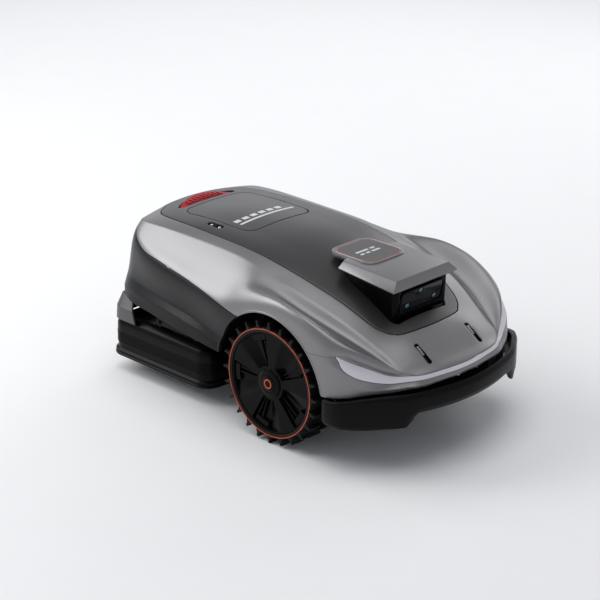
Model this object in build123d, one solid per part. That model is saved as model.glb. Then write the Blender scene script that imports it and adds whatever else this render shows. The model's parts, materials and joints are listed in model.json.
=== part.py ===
"""Robotic lawn mower with two large driven front wheels, a swivelling rear wheel and a floating deck.

Millimetres. +X is the front, +Y the left side, +Z up. The origin lies on the ground, below the middle.
"""
from build123d import *

import math
import os

os.makedirs("parts", exist_ok=True)

# ---------------------------------------------------------------- driving dimensions
WHEEL_R = 128.0            # tip of the lugs
WHEEL_X = 96.0
WHEEL_FACE = 245.0         # outer face of the tyre, from the middle plane
WHEEL_WIDTH = 65.0
CARCASS_R = 114.0
RIM_R = 104.0
LUGS = 24
AXLE_R = 8.0
ARCH_R = 145.0
ARCH_INNER = 166.0         # inner wall of the wheel well, from the middle plane
SKIN = 3.0                 # wall of the body mouldings
GAP = 0.4                  # half of the joint between two mouldings
RUN = 0.05                 # radial clearance of a running fit
LOOSE = 0.4                # radial clearance of the loose upper arm eye

DECK_REAR = -414.0
DECK_FRONT = -109.0
DECK_HALF = 218.0
DECK_BOTTOM = 35.0
DECK_TOP = 113.0
DECK_CORNER = 32.0
NOTCH_FRONT = -288.0       # the deck is notched for the rear wheel
NOTCH_HALF = 57.0
BLADE_X = -205.0
BLADE_Y = 88.0
DISC_R = 60.0
BLADE_PIVOT_R = 50.0
DISC_Z = 54.0
BLADES = 3
ARM_FRONT = -165.0         # swing arms that carry the deck: pivots on the chassis
ARM_REAR = -275.0          # and on the deck
ARM_LOW = 134.0
ARM_HIGH = 162.0
PIVOT_R = 4.0

CASTER_X = -345.0
CASTER_TRAIL = 18.0
CASTER_R = 35.0
CASTER_WIDTH = 26.0
STEM_R = 10.0

HATCH_REAR = -314.0
HATCH_FRONT = -111.0
HATCH_HALF = 90.0
HATCH_CORNER = 26.0
HINGE_R = 1.2
STOP_REAR = -366.0
STOP_FRONT = -330.0
STOP_HALF = 78.0
STOP_TOP = 345.0
STOP_BASE = 316.0
STOP_CROWN = 500.0         # radius of the button's crown, from side to side
KEY_R = 8.0
TRAY_Z = 184.0             # rear tray of the chassis, above the deck
TUB_Z = 66.0
TUB_TOP = 160.0
TUB_HALF = 158.0
LEDGE_Z = 139.0            # ledge of the tub that closes the gap behind the bumper
SCREW_R = 4.0
SCREW_HEAD = 2.0
RAIN_X = -195.0
RAIN_Y = -107.0
RAIN_Z = 340.4
RAIN_LENGTH = 44.0
RAIN_WIDTH = 13.0
HINGE_X = -109.9
HINGE_Z = 349.3
WELL_FLOOR = 311.0
KEY_X = -160.0
KEYS = {"key_start": -30, "key_home": 0, "key_ok": 30}
CONTACT_X = 341.5
CONTACT_Y = 73.5
CONTACT_Z = 213.2
CONTACT_LENGTH = 50.0
CONTACT_WIDTH = 11.0
DECK_SLOPE = 34.0          # fall of the front deck towards the nose, in degrees
WINDOW_X = 270.6
WINDOW_TILT = 11.6
WINDOW_WIDTH = 122.0
WINDOW_HEIGHT = 44.0
WINDOW_CORNER = 10.0
WINDOW_Z = 291.0
LENS_DEPTH = 5.0
LENS_R = 6.5
BADGE_X = 129.0
BADGE_SIZE = 98.0
BADGE_Z = 345.2
BOOM_Z = 120.0
BUMPER_WALL = 12.0
TUBE_R = 5.0               # torsion tube between the upper arms
SKIRT_TOP = 60.0
RIBS = 6
RIB_PITCH = 4.4

# ---------------------------------------------------------------- feature lines of the body
# Each line runs from the tail to the nose as (x, half width, height).
CENTRE = [(-403, 0, 203), (-402, 0, 302), (-400, 0, 325), (-396, 0, 332), (-389, 0, 335.5),
          (-380, 0, 338), (-345, 0, 342), (-300, 0, 346), (-234, 0, 350.5), (-165, 0, 352), (-104, 0, 351),
          (-27, 0, 347), (44, 0, 338), (100, 0, 325), (150, 0, 309), (200, 0, 290), (256, 0, 264),
          (298, 0, 243), (320, 0, 230), (363, 0, 201),
          (386, 0, 189), (391, 0, 177)]
PANEL = [(-403, 50, 203), (-402, 50, 298), (-400, 52, 321), (-396, 58, 328.5), (-389, 66, 332),
         (-380, 78, 334), (-356, 113, 334.5), (-324, 126, 336), (-234, 134, 339.5), (-179, 136.5, 339.5),
         (-92, 139, 338), (-27, 140, 334), (44, 140, 324), (102, 137, 311), (173, 130, 291),
         (215, 125, 275), (256, 116, 254),
         (276, 103, 245), (289, 88, 240), (320, 82, 227), (363, 66, 200), (386, 12, 188.5), (391, 8, 176.8)]
CREASE = [(-403, 90, 202.5), (-402, 91, 280), (-400, 94, 298), (-396, 104, 311), (-389, 122, 318.5),
          (-380, 146, 323.5), (-365, 158, 326), (-330, 162, 329), (-271, 163, 331), (-122, 163, 330),
          (-45, 166, 327), (5, 170, 320), (37, 172, 313), (77, 173.5, 307), (102, 173, 301),
          (150, 170, 288), (203, 165, 272),
          (258, 154, 247), (286, 148, 231), (314, 144, 216), (343, 140, 199), (358, 122, 193),
          (375, 84, 190.5), (386, 16, 188), (391, 12, 176.5)]
TROUGH = [(-403, 110, 202), (-400, 112, 280), (-396, 118, 297), (-389, 128, 311), (-380, 151, 319),
          (-365, 163, 321.5), (-330, 175, 318.5), (-230, 183.4, 314), (-130, 187.5, 310), (-41, 194.5, 307),
          (0, 200, 307), (50, 201, 298), (100, 199, 285), (150, 195, 270), (203, 187, 255), (250, 175, 238),
          (286, 163, 222), (314, 153, 209), (335, 147, 201), (348, 138, 196), (358, 124, 192.4),
          (375, 87, 190), (386, 19, 187.4), (391, 15, 176)]
CREST = [(-403, 125, 201), (-400, 126, 270), (-396, 131, 285), (-389, 134, 307), (-380, 154, 316),
         (-365, 167, 318), (-330, 187, 308.3), (-230, 201.7, 297), (-130, 208, 289.5), (-41, 216.5, 287),
         (-2, 222, 293), (51, 227, 302), (107, 235, 307), (136, 239, 305), (185, 240, 296), (236, 234, 277),
         (262, 227, 264), (285, 217, 253), (303, 203, 241), (320, 186, 228), (335, 165, 213),
         (348, 143, 200), (358, 126, 192), (375, 89, 189.6), (386, 22, 187), (391, 18, 175.5)]
SHOULDER = [(-403, 135, 200), (-400, 136, 265), (-396, 142, 278), (-389, 139, 305), (-380, 156.5, 314),
            (-365, 170, 314.5), (-330, 194, 302.3), (-230, 211, 289.3), (-130, 219, 279),
            (-41, 230.5, 273),
            (8, 237.5, 279), (50, 240, 288), (96, 243.5, 294), (150, 247, 288), (200, 247, 275), (245, 242, 256),
            (262, 238, 245), (285, 223, 238), (303, 207, 229), (320, 189, 217), (335, 166, 203),
            (348, 143.5, 196), (358, 127, 191.3), (375, 91, 189), (386, 25, 186.4), (391, 20, 175)]
BELT = [(-403, 142, 199), (-396, 152, 258), (-389, 142, 304), (-380, 158, 312), (-367, 173, 310),
        (-347, 190, 301), (-306, 207, 288), (-244, 217, 281), (-134, 228, 267), (-51, 240, 257),
        (8, 246, 252), (96, 247, 262), (200, 249, 245), (245, 246, 238), (265, 239, 234),
        (284, 216, 224), (319, 184, 205), (337, 158, 193), (358, 127.5, 190.2), (375, 93, 188.4),
        (386, 28, 186), (391, 22, 174.6)]
SOFT = [(-403, 145, 197), (-396, 167, 214), (-389, 179, 214), (-380, 187.5, 214), (-355, 201, 213),
        (-230, 225, 206), (-142, 232, 198), (-68, 240, 189), (8, 245.5, 190), (96, 247, 200),
        (200, 249, 205),
        (245, 248.5, 212), (265, 242, 224), (280, 238, 214), (297, 229, 201), (313, 213, 191),
        (338, 171, 179), (358, 136, 178), (375, 102, 178.5), (386, 46, 179), (391, 24, 174)]
SHARP = [(-403, 150, 192), (-396, 176, 190), (-389, 189, 189.5), (-380, 198, 189), (-365, 206, 189.5),
         (-317, 220, 190), (-222, 233, 190), (-134, 240, 182), (-43, 245, 172), (96, 247, 172),
         (245, 248.5, 176), (270, 244, 180), (297, 231, 178), (320, 207, 173), (345, 173, 171),
         (362, 143, 171.5), (378, 110, 172), (386, 60, 172.5), (391, 27, 172.5)]
HEM = [(-403, 149, 184), (-396, 174, 180), (-389, 189, 178), (-380, 198, 175), (-365, 206, 170),
       (-341, 214, 166), (-274, 222, 163), (-185, 231, 156), (-140, 235, 154), (-41, 244, 151),
       (96, 247, 149), (245, 247.5, 148), (270, 243, 151), (297, 231, 157), (320, 206, 162),
       (345, 172, 164), (362, 142, 166), (378, 108, 168), (386, 58, 169), (391, 26, 170)]
RINGS = [CENTRE, PANEL, CREASE, TROUGH, CREST, SHOULDER, BELT, SOFT, SHARP, HEM]
STATIONS = [-403, -402, -400, -396, -389, -380, -365, -345, -318, -280, -230, -180, -130, -85, -41, 0,
            48, 96, 144, 190, 225, 252, 272, 290, 307, 322, 337, 350, 363, 375, 386, 391]
# Side view of the joint between the silver shell and the dark side panels.
PANEL_TOP = [(-430, 316), (-388, 314), (-367, 310.5), (-347, 301.5), (-306, 288.5), (-244, 281.5),
             (-134, 267.5), (-51, 255), (12, 244.5)]
# Side view of the light strip along the nose, upper and lower edge.
STRIP_HIGH = [(264, 236), (284, 223), (319, 204), (337, 192), (358, 189), (392, 188)]
STRIP_LOW = [(392, 180), (375, 179.5), (358, 179), (338, 180), (313, 192), (297, 202), (280, 215), (267, 230)]
# Plan of the bumper's outer face, from the side to the nose.
BUMPER_PLAN = [(246, 255), (270, 259), (296, 253), (325, 231), (352, 198), (380, 158), (398, 108), (410, 52),
               (414, 0)]


# ---------------------------------------------------------------- small helpers
def save(node, shape):
    """Writes one sub-part, named after its node."""
    shape.label = node
    export_step(shape, f"parts/{node}.step")


def block(x, y, z):
    """A box between two limits along each axis."""
    size = (x[1] - x[0], y[1] - y[0], z[1] - z[0])
    middle = ((x[0] + x[1]) / 2, (y[0] + y[1]) / 2, (z[0] + z[1]) / 2)
    return Pos(*middle) * Box(*size)


def post(x, y, z, r):
    """An upright cylinder between two heights."""
    return Pos(x, y, (z[0] + z[1]) / 2) * Cylinder(r, z[1] - z[0])


def rod(x, y, z, r):
    """A cylinder along Y between two places."""
    return Pos(x, (y[0] + y[1]) / 2, z) * Rot(90, 0, 0) * Cylinder(r, y[1] - y[0])


def mirrored(shape):
    """The same shape on the other side of the middle plane."""
    return mirror(shape, about=Plane.XZ)


def both(shape):
    """A shape and its twin on the other side, as one group of separate solids."""
    return Compound(children=[*shape.solids(), *mirrored(shape).solids()])


def group(*shapes):
    """Several separate solids in one node."""
    solids = []
    for shape in shapes:
        solids.extend(shape.solids())
    return Compound(children=solids)


def plan_prism(points, z):
    """A prism over a closed outline in plan, between two heights."""
    outline = Plane.XY.offset(z[0]) * make_face(Polyline(*points, close=True))
    return extrude(outline, amount=z[1] - z[0])


def side_prism(points, half):
    """A prism across the machine over a closed outline in side view."""
    corners = [Vector(x, -half, z) for x, z in points]
    return extrude(make_face(Polyline(*corners, close=True)), amount=2 * half, dir=(0, 1, 0))


def rounded_plan(x, half, corner, z, taper=0):
    """A prism over a rounded rectangle that is symmetric about the middle plane."""
    plane = Plane.XY.offset(z[0])
    outline = plane * Pos((x[0] + x[1]) / 2, 0) * RectangleRounded(x[1] - x[0], 2 * half, corner)
    return extrude(outline, amount=z[1] - z[0], taper=taper)


def along(line, x):
    """Half width and height of a feature line at one station, on a smooth curve through its points."""
    if x <= line[0][0]:
        return line[0][1:]
    if x >= line[-1][0]:
        return line[-1][1:]
    k = next(i for i in range(len(line) - 1) if line[i + 1][0] >= x)
    span = line[k + 1][0] - line[k][0]
    t = (x - line[k][0]) / span
    result = []
    for axis in (1, 2):
        slopes = []
        for i in (k, k + 1):
            before = line[max(i - 1, 0)]
            after = line[min(i + 1, len(line) - 1)]
            slopes.append(span * (after[axis] - before[axis]) / (after[0] - before[0]))
        start, end = line[k][axis], line[k + 1][axis]
        result.append((2 * t**3 - 3 * t**2 + 1) * start + (t**3 - 2 * t**2 + t) * slopes[0]
                      + (3 * t**2 - 2 * t**3) * end + (t**3 - t**2) * slopes[1])
    return tuple(result)


def section(x, inset=0.0):
    """Closed cross-section of the body at one station, moved inwards by the inset."""
    nose = min(1.0, max(-1.0, x / 300.0))
    half = [along(line, x + inset * nose) for line in RINGS]
    half.insert(1, (half[1][0] / 2, (3 * half[0][1] + half[1][1]) / 4))
    if inset:
        moved = [(0.0, half[0][1] - inset)]
        for i in range(1, len(half)):
            before = half[i - 1]
            after = half[min(i + 1, len(half) - 1)]
            run, rise = after[0] - before[0], after[1] - before[1]
            length = math.hypot(run, rise) or 1.0
            moved.append((half[i][0] + inset * rise / length, half[i][1] - inset * run / length))
        moved[-1] = (moved[-1][0], half[-1][1] - 40)
        half = moved
    full = [(-h, z) for h, z in reversed(half[1:])] + half
    return Polyline(*[Vector(x, h, z) for h, z in full], close=True)


def body_form(inset=0.0):
    """The whole body as a closed form."""
    first, last = STATIONS[0] + inset, STATIONS[-1] - inset
    stations = [first, *[x for x in STATIONS if first + 1 < x < last - 1], last]
    return Solid.make_loft([section(x, inset).wire() for x in stations], ruled=True)


# ---------------------------------------------------------------- body mouldings
outer = body_form()
inner = body_form(SKIN)
skin = outer - inner
for side in (-1, 1):
    skin -= rod(WHEEL_X, sorted((side * ARCH_INNER, side * 300)), WHEEL_R, ARCH_R)


def panel_outline(grow):
    """Plan of the dark top panel, grown or shrunk a little for the joint line."""
    side = [p for p in PANEL if -380 <= p[0] <= 289]
    right = [(x, -(h + grow)) for x, h, _ in side]
    left = [(x, h + grow) for x, h, _ in reversed(side)]
    return [(-386 - grow, -40), *right, (298 + grow, -45), (301 + grow, 0), (298 + grow, 45), *left,
            (-386 - grow, 40)]


# Openings and joint lines that divide the skin.
hatch_zone = rounded_plan((HATCH_REAR, HATCH_FRONT), HATCH_HALF, HATCH_CORNER, (300, 370))
hatch_hole = rounded_plan((HATCH_REAR - 1, HINGE_X + 1.9), HATCH_HALF + 1, HATCH_CORNER + 1, (300, 370))
rain_hole = Pos(RAIN_X, RAIN_Y, 340) * extrude(SlotOverall(RAIN_LENGTH + 0.6, RAIN_WIDTH + 0.6), amount=20)
panel_zone = plan_prism(panel_outline(-GAP), (150, 400))
panel_hole = plan_prism(panel_outline(GAP), (150, 400))
belt_zone = side_prism([*PANEL_TOP, (12, 100), (-430, 100)], 300)
belt_cut = side_prism([(x, z + 2 * GAP) for x, z in PANEL_TOP] + [(12.8, 100), (-430, 100)], 300)
hood_half = [(200, 192), (284, 192), (319, 167), (337, 151.5), (346, 138)]
hood = plan_prism([*[(x, -h) for x, h in hood_half], *[(x, h) for x, h in reversed(hood_half)]], (150, 300))
strip_zone = side_prism([*STRIP_HIGH, *STRIP_LOW], 300) - hood
strip_edges = [(x, z + GAP) for x, z in STRIP_HIGH] + [(x, z - GAP) for x, z in STRIP_LOW]
strip_cut = side_prism(strip_edges, 300) - hood


def stop_outline(grow):
    """Crescent plan of the stop button: a curved rear edge and a straight front edge."""
    half = STOP_HALF + grow
    ends = STOP_FRONT - 10
    rear = ThreePointArc((ends, -half), (STOP_REAR - grow, 0), (ends, half))
    front = Polyline((ends, half), (STOP_FRONT + grow, half - 6),
                     (STOP_FRONT + grow, 6 - half), (ends, -half))
    return make_face(rear + front)


def contact_frame(side):
    """Place of a charging contact on the sloping front deck."""
    return Pos(CONTACT_X, side * CONTACT_Y, CONTACT_Z) * Rot(0, DECK_SLOPE, 0)


def vision_plan(grow):
    """Plan of the camera housing: a round-cornered wedge that widens towards the front."""
    right = [(96, -44), (112, -58), (150, -70), (215, -75), (262, -77), (272, -69)]
    points = [(x + (grow if x > 200 else -grow), y - grow) for x, y in right]
    return plan_prism([*points, *[(x, -y) for x, y in reversed(points)]], (200, 360))


stop_hole = extrude(Plane.XY.offset(300) * stop_outline(0.8), amount=80)
main_shell = skin - panel_hole - belt_cut - strip_cut
for side in (-1, 1):
    main_shell -= contact_frame(side) * Box(CONTACT_LENGTH, CONTACT_WIDTH, 30)
top_panel = (skin & panel_zone) - hatch_hole - stop_hole - rain_hole - vision_plan(0.4)
belt = (skin - panel_hole) & belt_zone
save("main_shell", main_shell.solids().sort_by(SortBy.VOLUME)[-1])
save("top_panel", top_panel)
save("side_panel_right", belt & block((-440, 20), (-300, -GAP), (100, 330)))
save("side_panel_left", belt & block((-440, 20), (GAP, 300), (100, 330)))
save("front_trim_strip", skin & strip_zone)

# ---------------------------------------------------------------- display hatch and what lies under it
hatch = skin & hatch_zone
hinge_pins = []
for side in (-1, 1):
    pin = rod(HINGE_X, sorted((side * 12, side * 34)), HINGE_Z, HINGE_R)
    hatch -= pin
    hinge_pins.append(pin)
save("display_hatch", hatch)
save("hatch_hinge_pins", group(*hinge_pins))
well = block((HATCH_REAR - 4, HATCH_FRONT + 8), (-HATCH_HALF - 5, HATCH_HALF + 5),
             (WELL_FLOOR - 3, 352)) & inner
well -= block((HATCH_REAR - 1, HATCH_FRONT + 5), (-HATCH_HALF - 2, HATCH_HALF + 2), (WELL_FLOOR, 360))
save("control_panel", well)
save("display_screen", block((-262, -196), (-42, 42), (WELL_FLOOR, WELL_FLOOR + 6)))
for name, y in KEYS.items():
    cap = post(KEY_X, y, (WELL_FLOOR + 1.6, WELL_FLOOR + 8), KEY_R)
    save(name, fillet(cap.edges().group_by(Axis.Z)[-1], 1.2))

# ---------------------------------------------------------------- stop button
button = extrude(Plane.XY.offset(STOP_BASE) * stop_outline(0), amount=STOP_TOP - STOP_BASE)
button &= Pos(STOP_REAR, 0, STOP_TOP - STOP_CROWN) * Rot(0, 90, 0) * Cylinder(STOP_CROWN, 120)
save("stop_button", button)

# ---------------------------------------------------------------- vision module
housing_side = [(96, 306), (96, 333), (200, 337), (277, 324), (263, 256), (258, 246), (150, 262), (96, 288)]
housing = side_prism(housing_side, 90) & vision_plan(0)
hollow_side = [(100, 292), (100, 330), (200, 334), (272, 321.5), (259, 258), (254, 250), (150, 250),
               (100, 280)]
housing -= side_prism(hollow_side, 90) & vision_plan(-3)
window_frame = Pos(WINDOW_X, 0, WINDOW_Z) * Rot(0, WINDOW_TILT, 0)
window_cut = RectangleRounded(WINDOW_WIDTH + 0.6, WINDOW_HEIGHT + 0.6, WINDOW_CORNER)
housing -= window_frame * extrude(Plane.YZ.offset(-9) * window_cut, amount=18)
save("vision_housing", housing)
pane_face = RectangleRounded(WINDOW_WIDTH, WINDOW_HEIGHT, WINDOW_CORNER)
pane = window_frame * extrude(Plane.YZ.offset(-3.4) * pane_face, amount=2.4)
save("camera_window", pane)
lens_places = [(-39, -11), (39, -11), (-6, 14)]
lenses = []
for y, z in lens_places:
    lens = Pos(-3.4 - LENS_DEPTH / 2, y, z) * Rot(0, 90, 0) * Cylinder(LENS_R, LENS_DEPTH)
    lenses.append(window_frame * lens)
save("camera_lenses", group(*lenses))

visor_side = [(68, 340), (68, 346), (128, 347.2), (190, 346.6), (272, 342), (281, 325), (281, 321.5),
              (272, 325.5), (200, 338), (96, 334)]
badge_half = [(68, -30), (72, -46), (84, -56), (122, -60), (132, -93), (281, -93)]
visor = side_prism(visor_side, 100)
visor &= plan_prism([*badge_half, *[(x, -y) for x, y in reversed(badge_half)]], (300, 380))
for side in (-1, 1):
    edge = [(side * 76, 345.5), (side * 94, 326), (side * 110, 326), (side * 110, 370), (side * 76, 370)]
    corners = [Vector(60, y, z) for y, z in edge]
    visor -= extrude(make_face(Polyline(*corners, close=True)), amount=240, dir=(1, 0, 0))
badge_plane = Plane.XY.offset(BADGE_Z) * Pos(BADGE_X, 0)
badge_face = RectangleRounded(BADGE_SIZE, BADGE_SIZE, 23)
frame_face = RectangleRounded(BADGE_SIZE + 3, BADGE_SIZE + 3, 24.5)
visor -= extrude(badge_plane * frame_face, amount=10)
save("vision_visor", visor)
badge = extrude(badge_plane * badge_face, amount=2.2)
badge_frame = extrude(badge_plane * (frame_face - RectangleRounded(BADGE_SIZE + 0.2, BADGE_SIZE + 0.2, 23.1)),
                      amount=2.3)
save("vision_badge", group(badge, badge_frame))

# ---------------------------------------------------------------- charging contacts and rain sensor
contacts = []
for side in (-1, 1):
    frame = contact_frame(side)
    bezel = Box(CONTACT_LENGTH - 0.6, CONTACT_WIDTH - 0.6, 6) - Box(CONTACT_LENGTH - 8, CONTACT_WIDTH - 5, 10)
    contacts.append(frame * Pos(0, 0, -1.2) * bezel)
    contacts.append(frame * Pos(0, 0, -1.0) * Box(CONTACT_LENGTH - 9, CONTACT_WIDTH - 6, 5))
save("charging_contacts", group(*contacts))
rain_base = Pos(RAIN_X, RAIN_Y, RAIN_Z) * extrude(SlotOverall(RAIN_LENGTH, RAIN_WIDTH), amount=4)
rain_pins = []
for offset in (-14, 14):
    rain_base -= post(RAIN_X + offset, RAIN_Y, (RAIN_Z + 1, RAIN_Z + 9), 1.6)
    rain_pins.append(post(RAIN_X + offset, RAIN_Y, (RAIN_Z + 1, RAIN_Z + 5.4), 1.6))
save("rain_sensor", group(rain_base, *rain_pins))

# ---------------------------------------------------------------- wheel arches, tub and inner frame
for name, side in (("arch_liner_right", -1), ("arch_liner_left", 1)):
    reach = sorted((side * (ARCH_INNER - 3), side * 239))
    wall = sorted((side * ARCH_INNER, side * 260))
    liner = rod(WHEEL_X, reach, WHEEL_R, ARCH_R + 2) - rod(WHEEL_X, wall, WHEEL_R, ARCH_R)
    save(name, liner & block((-100, 300), (-260, 260), (TUB_TOP + 1, 300)))

tub_half = [(-100, TUB_HALF), (236, TUB_HALF), (250, 222), (276, 222), (300, 203), (326, 170), (354, 130),
            (372, 85), (382, 40)]
ledge_half = [(236, TUB_HALF), (244, 226), (270, 235), (288, 229), (311, 211), (334, 182), (360, 147),
              (377, 100), (388, 48), (391, 10)]
ledge_plan = [*[(x, -h) for x, h in ledge_half], *[(x, h) for x, h in reversed(ledge_half)]]
tub_plan = [*[(x, -h) for x, h in tub_half], *[(x, h) for x, h in reversed(tub_half)]]
tub_inner = [*[(x + (3 if x < 0 else -3), -h + 3) for x, h in tub_half],
             *[(x + (3 if x < 0 else -3), h - 3) for x, h in reversed(tub_half)]]
keel = side_prism([(236, TUB_Z - 1), (400, TUB_Z - 1), (400, 128), (300, 104), (252, 84)], 260)
keel_hollow = side_prism([(230, TUB_Z - 1), (400, TUB_Z - 1), (400, 132), (300, 108), (250, 88)], 260)
tub = plan_prism(tub_plan, (TUB_Z, TUB_TOP)) - keel + plan_prism(ledge_plan, (LEDGE_Z, LEDGE_Z + 4))
tub -= plan_prism(tub_inner, (TUB_Z + 3, TUB_TOP + 5)) - keel_hollow
for side in (-1, 1):
    tub -= rod(WHEEL_X, sorted((side * 140, side * 170)), WHEEL_R, 14)
screws = []
for x in (-84, 20, 130, 220):
    for side in (-1, 1):
        tub -= post(x, side * 140, (TUB_Z - 1, TUB_Z + SCREW_HEAD), SCREW_R + 0.5)
        screws.append(post(x, side * 140, (TUB_Z + 0.3, TUB_Z + SCREW_HEAD), SCREW_R))
save("chassis_tub", tub)
save("tub_screws", group(*screws))

plate = plan_prism([(-100, -150), (236, -150), (300, -150), (340, -110), (340, 110), (300, 150), (-100, 150)],
                   (TUB_TOP, TUB_TOP + 4))
plate += block((-100, -96), (-150, 150), (TUB_TOP, TRAY_Z + 4))
plate += block((-388, -96), (-146, 146), (TRAY_Z, TRAY_Z + 4))
plate += block((-374, -316), (-28, 28), (BOOM_Z, TRAY_Z))
plate -= post(CASTER_X, 0, (BOOM_Z - 1, TRAY_Z + 10), STEM_R + RUN)
save("chassis_frame", plate)

ears = block((ARM_FRONT - 13, ARM_FRONT + 13), (-189, -183), (ARM_LOW - 10, TRAY_Z))
ears += rod(ARM_FRONT, (-199, -183), ARM_LOW, PIVOT_R)
ears += block((ARM_FRONT - 13, ARM_FRONT + 13), (-189, -40), (TRAY_Z - 8, TRAY_Z))
ears -= rod(ARM_FRONT, (-200, -150), ARM_HIGH, TUBE_R + RUN)
save("arm_brackets", both(ears))

save("battery_pack", fillet(block((-92, 40), (-80, 80), (TUB_Z + 4, 148)).edges().filter_by(Axis.Z), 8))
save("main_board", block((-70, 90), (-70, 70), (TUB_TOP + 8, TUB_TOP + 10)) + block(
    (-20, 30), (-30, 30), (TUB_TOP + 10, TUB_TOP + 22)) + both(post(-55, -55, (TUB_TOP + 4, TUB_TOP + 8), 4)))
motor = rod(WHEEL_X, (-154.5, -84), WHEEL_R, 30) - rod(WHEEL_X, (-160, -138), WHEEL_R, AXLE_R + RUN)
save("drive_motors", both(motor))
save("lift_motor", block((-158, -112), (-30, 30), (TRAY_Z + 4, TRAY_Z + 34)))

# ---------------------------------------------------------------- bumper
def bumper_plan(inset, rear):
    """Plan of the bumper's face, moved inwards, and closed across the machine."""
    half = [*BUMPER_PLAN]
    moved = []
    for i, (x, h) in enumerate(half):
        before, after = half[max(i - 1, 0)], half[min(i + 1, len(half) - 1)]
        run, rise = after[0] - before[0], after[1] - before[1]
        length = math.hypot(run, rise)
        moved.append((x + inset * rise / length, h - inset * run / length))
    moved = [(rear, moved[0][1]), *moved[1:-1], (half[-1][0] - inset, 0)]
    return [*[(x, -h) for x, h in moved], *[(x, h) for x, h in reversed(moved[:-1])]]


bumper = plan_prism(bumper_plan(0, 246), (97, 170)) - plan_prism(bumper_plan(BUMPER_WALL, 200), (90, 180))
bumper &= side_prism([(240, 90), (420, 90), (420, 164), (360, 163.5), (330, 160.5), (300, 154), (270, 148.5),
                      (240, 146.8)], 300)
step = [Vector(300, y, z) for y, z in ((-162, 80), (-162, 97), (-129, 121), (129, 121), (162, 97), (162, 80))]
bumper -= extrude(make_face(Polyline(*step, close=True)), amount=140, dir=(1, 0, 0))
save("front_bumper", bumper)

# ---------------------------------------------------------------- driven wheels
for name, side in (("right", -1), ("left", 1)):
    def across(near, far, r):
        """A cylinder on the wheel's axis between two distances from the middle plane."""
        return rod(WHEEL_X, sorted((side * near, side * far)), WHEEL_R, r)

    inside = WHEEL_FACE - WHEEL_WIDTH
    tyre = across(inside, WHEEL_FACE, CARCASS_R) - across(inside - 1, WHEEL_FACE + 1, RIM_R)
    pitch = 360 / LUGS
    half_width = WHEEL_WIDTH / 2
    for row in (0, 1):
        lug_y = side * (WHEEL_FACE - half_width / 2 - row * half_width)
        for k in range(LUGS):
            angle = (k + row / 2) * pitch - 90
            lug_r = (CARCASS_R - 2 + WHEEL_R) / 2
            place = Pos(WHEEL_X, lug_y, WHEEL_R) * Rot(0, -angle, 0) * Pos(lug_r, 0, 0)
            lug = place * Box(WHEEL_R - CARCASS_R + 2, half_width, 7)
            tyre += lug
    save(f"tyre_{name}", tyre & across(inside, WHEEL_FACE, WHEEL_R))

    rim = across(inside + 4, 240, RIM_R) - across(inside + 3, 241, 95) + across(226, 236, 96)
    rim += across(186, 243, 27)
    for k in range(5):
        angle = 43 + 72 * k
        pocket = Pos(WHEEL_X, side * 234, WHEEL_R) * Rot(0, -angle, 0) * Pos(62, 0, 0)
        rim -= pocket * Box(52, 8, 34)
        rim += pocket * Pos(0, -side * 2, 0) * Box(52, 4, 5)
    rim -= across(140, 238, AXLE_R)
    save(f"rim_{name}", rim)
    save(f"rim_ring_{name}", across(WHEEL_FACE, WHEEL_FACE + 0.8, 112.4) - across(240, 250, 109.8))
    save(f"hub_cap_{name}", across(243, 246.5, 17))
    save(f"axle_{name}", across(141, 238, AXLE_R))

# ---------------------------------------------------------------- rear wheel
axle_x = CASTER_X - CASTER_TRAIL
fork = post(CASTER_X, 0, (118, TRAY_Z + 12), STEM_R) + post(CASTER_X, 0, (TRAY_Z + 4.4, TRAY_Z + 10), 16)
fork += block((axle_x - 9, CASTER_X + 18), (-21, 21), (100, BOOM_Z - 0.5))
for side in (-1, 1):
    fork += block((axle_x - 9, axle_x + 9), sorted((side * 15.5, side * 21)), (26, 101))
fork -= rod(axle_x, (-30, 30), CASTER_R, PIVOT_R)
save("rear_fork", group(fork, rod(axle_x, (-22.5, 22.5), CASTER_R, PIVOT_R)))
half_tread = CASTER_WIDTH / 2
save("rear_tyre", rod(axle_x, (-half_tread, half_tread), CASTER_R, CASTER_R)
     - rod(axle_x, (-20, 20), CASTER_R, 26))
save("rear_rim", rod(axle_x, (-half_tread + 1, half_tread - 1), CASTER_R, 26)
     - rod(axle_x, (-20, 20), CASTER_R, PIVOT_R + RUN))

# ---------------------------------------------------------------- swing arms of the deck
def arm(z, bores):
    """A flat arm with an eye at each end, bored at the given places."""
    bar = block((ARM_REAR, ARM_FRONT), (-197, -191), (z - 6, z + 6))
    bar += rod(ARM_FRONT, (-197, -191), z, 10) + rod(ARM_REAR, (-197, -191), z, 10)
    for x, r in bores:
        bar -= rod(x, (-198, -190), z, r)
    return bar


upper_arm = arm(ARM_HIGH, [(ARM_REAR, PIVOT_R + LOOSE)])
lift_frame = upper_arm + mirrored(upper_arm) + rod(ARM_FRONT, (-197, 197), ARM_HIGH, TUBE_R)
save("lift_arm_frame", lift_frame)
save("lower_arms", both(arm(ARM_LOW, [(ARM_FRONT, PIVOT_R + RUN), (ARM_REAR, PIVOT_R + RUN)])))

# ---------------------------------------------------------------- floating deck
def deck_plan(grow, z, taper=0):
    """A prism over the rounded plan of the deck."""
    limits = (DECK_REAR - grow + 4, DECK_FRONT + grow - 4)
    return rounded_plan(limits, DECK_HALF - 4 + grow, DECK_CORNER + grow, z, taper)


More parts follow.
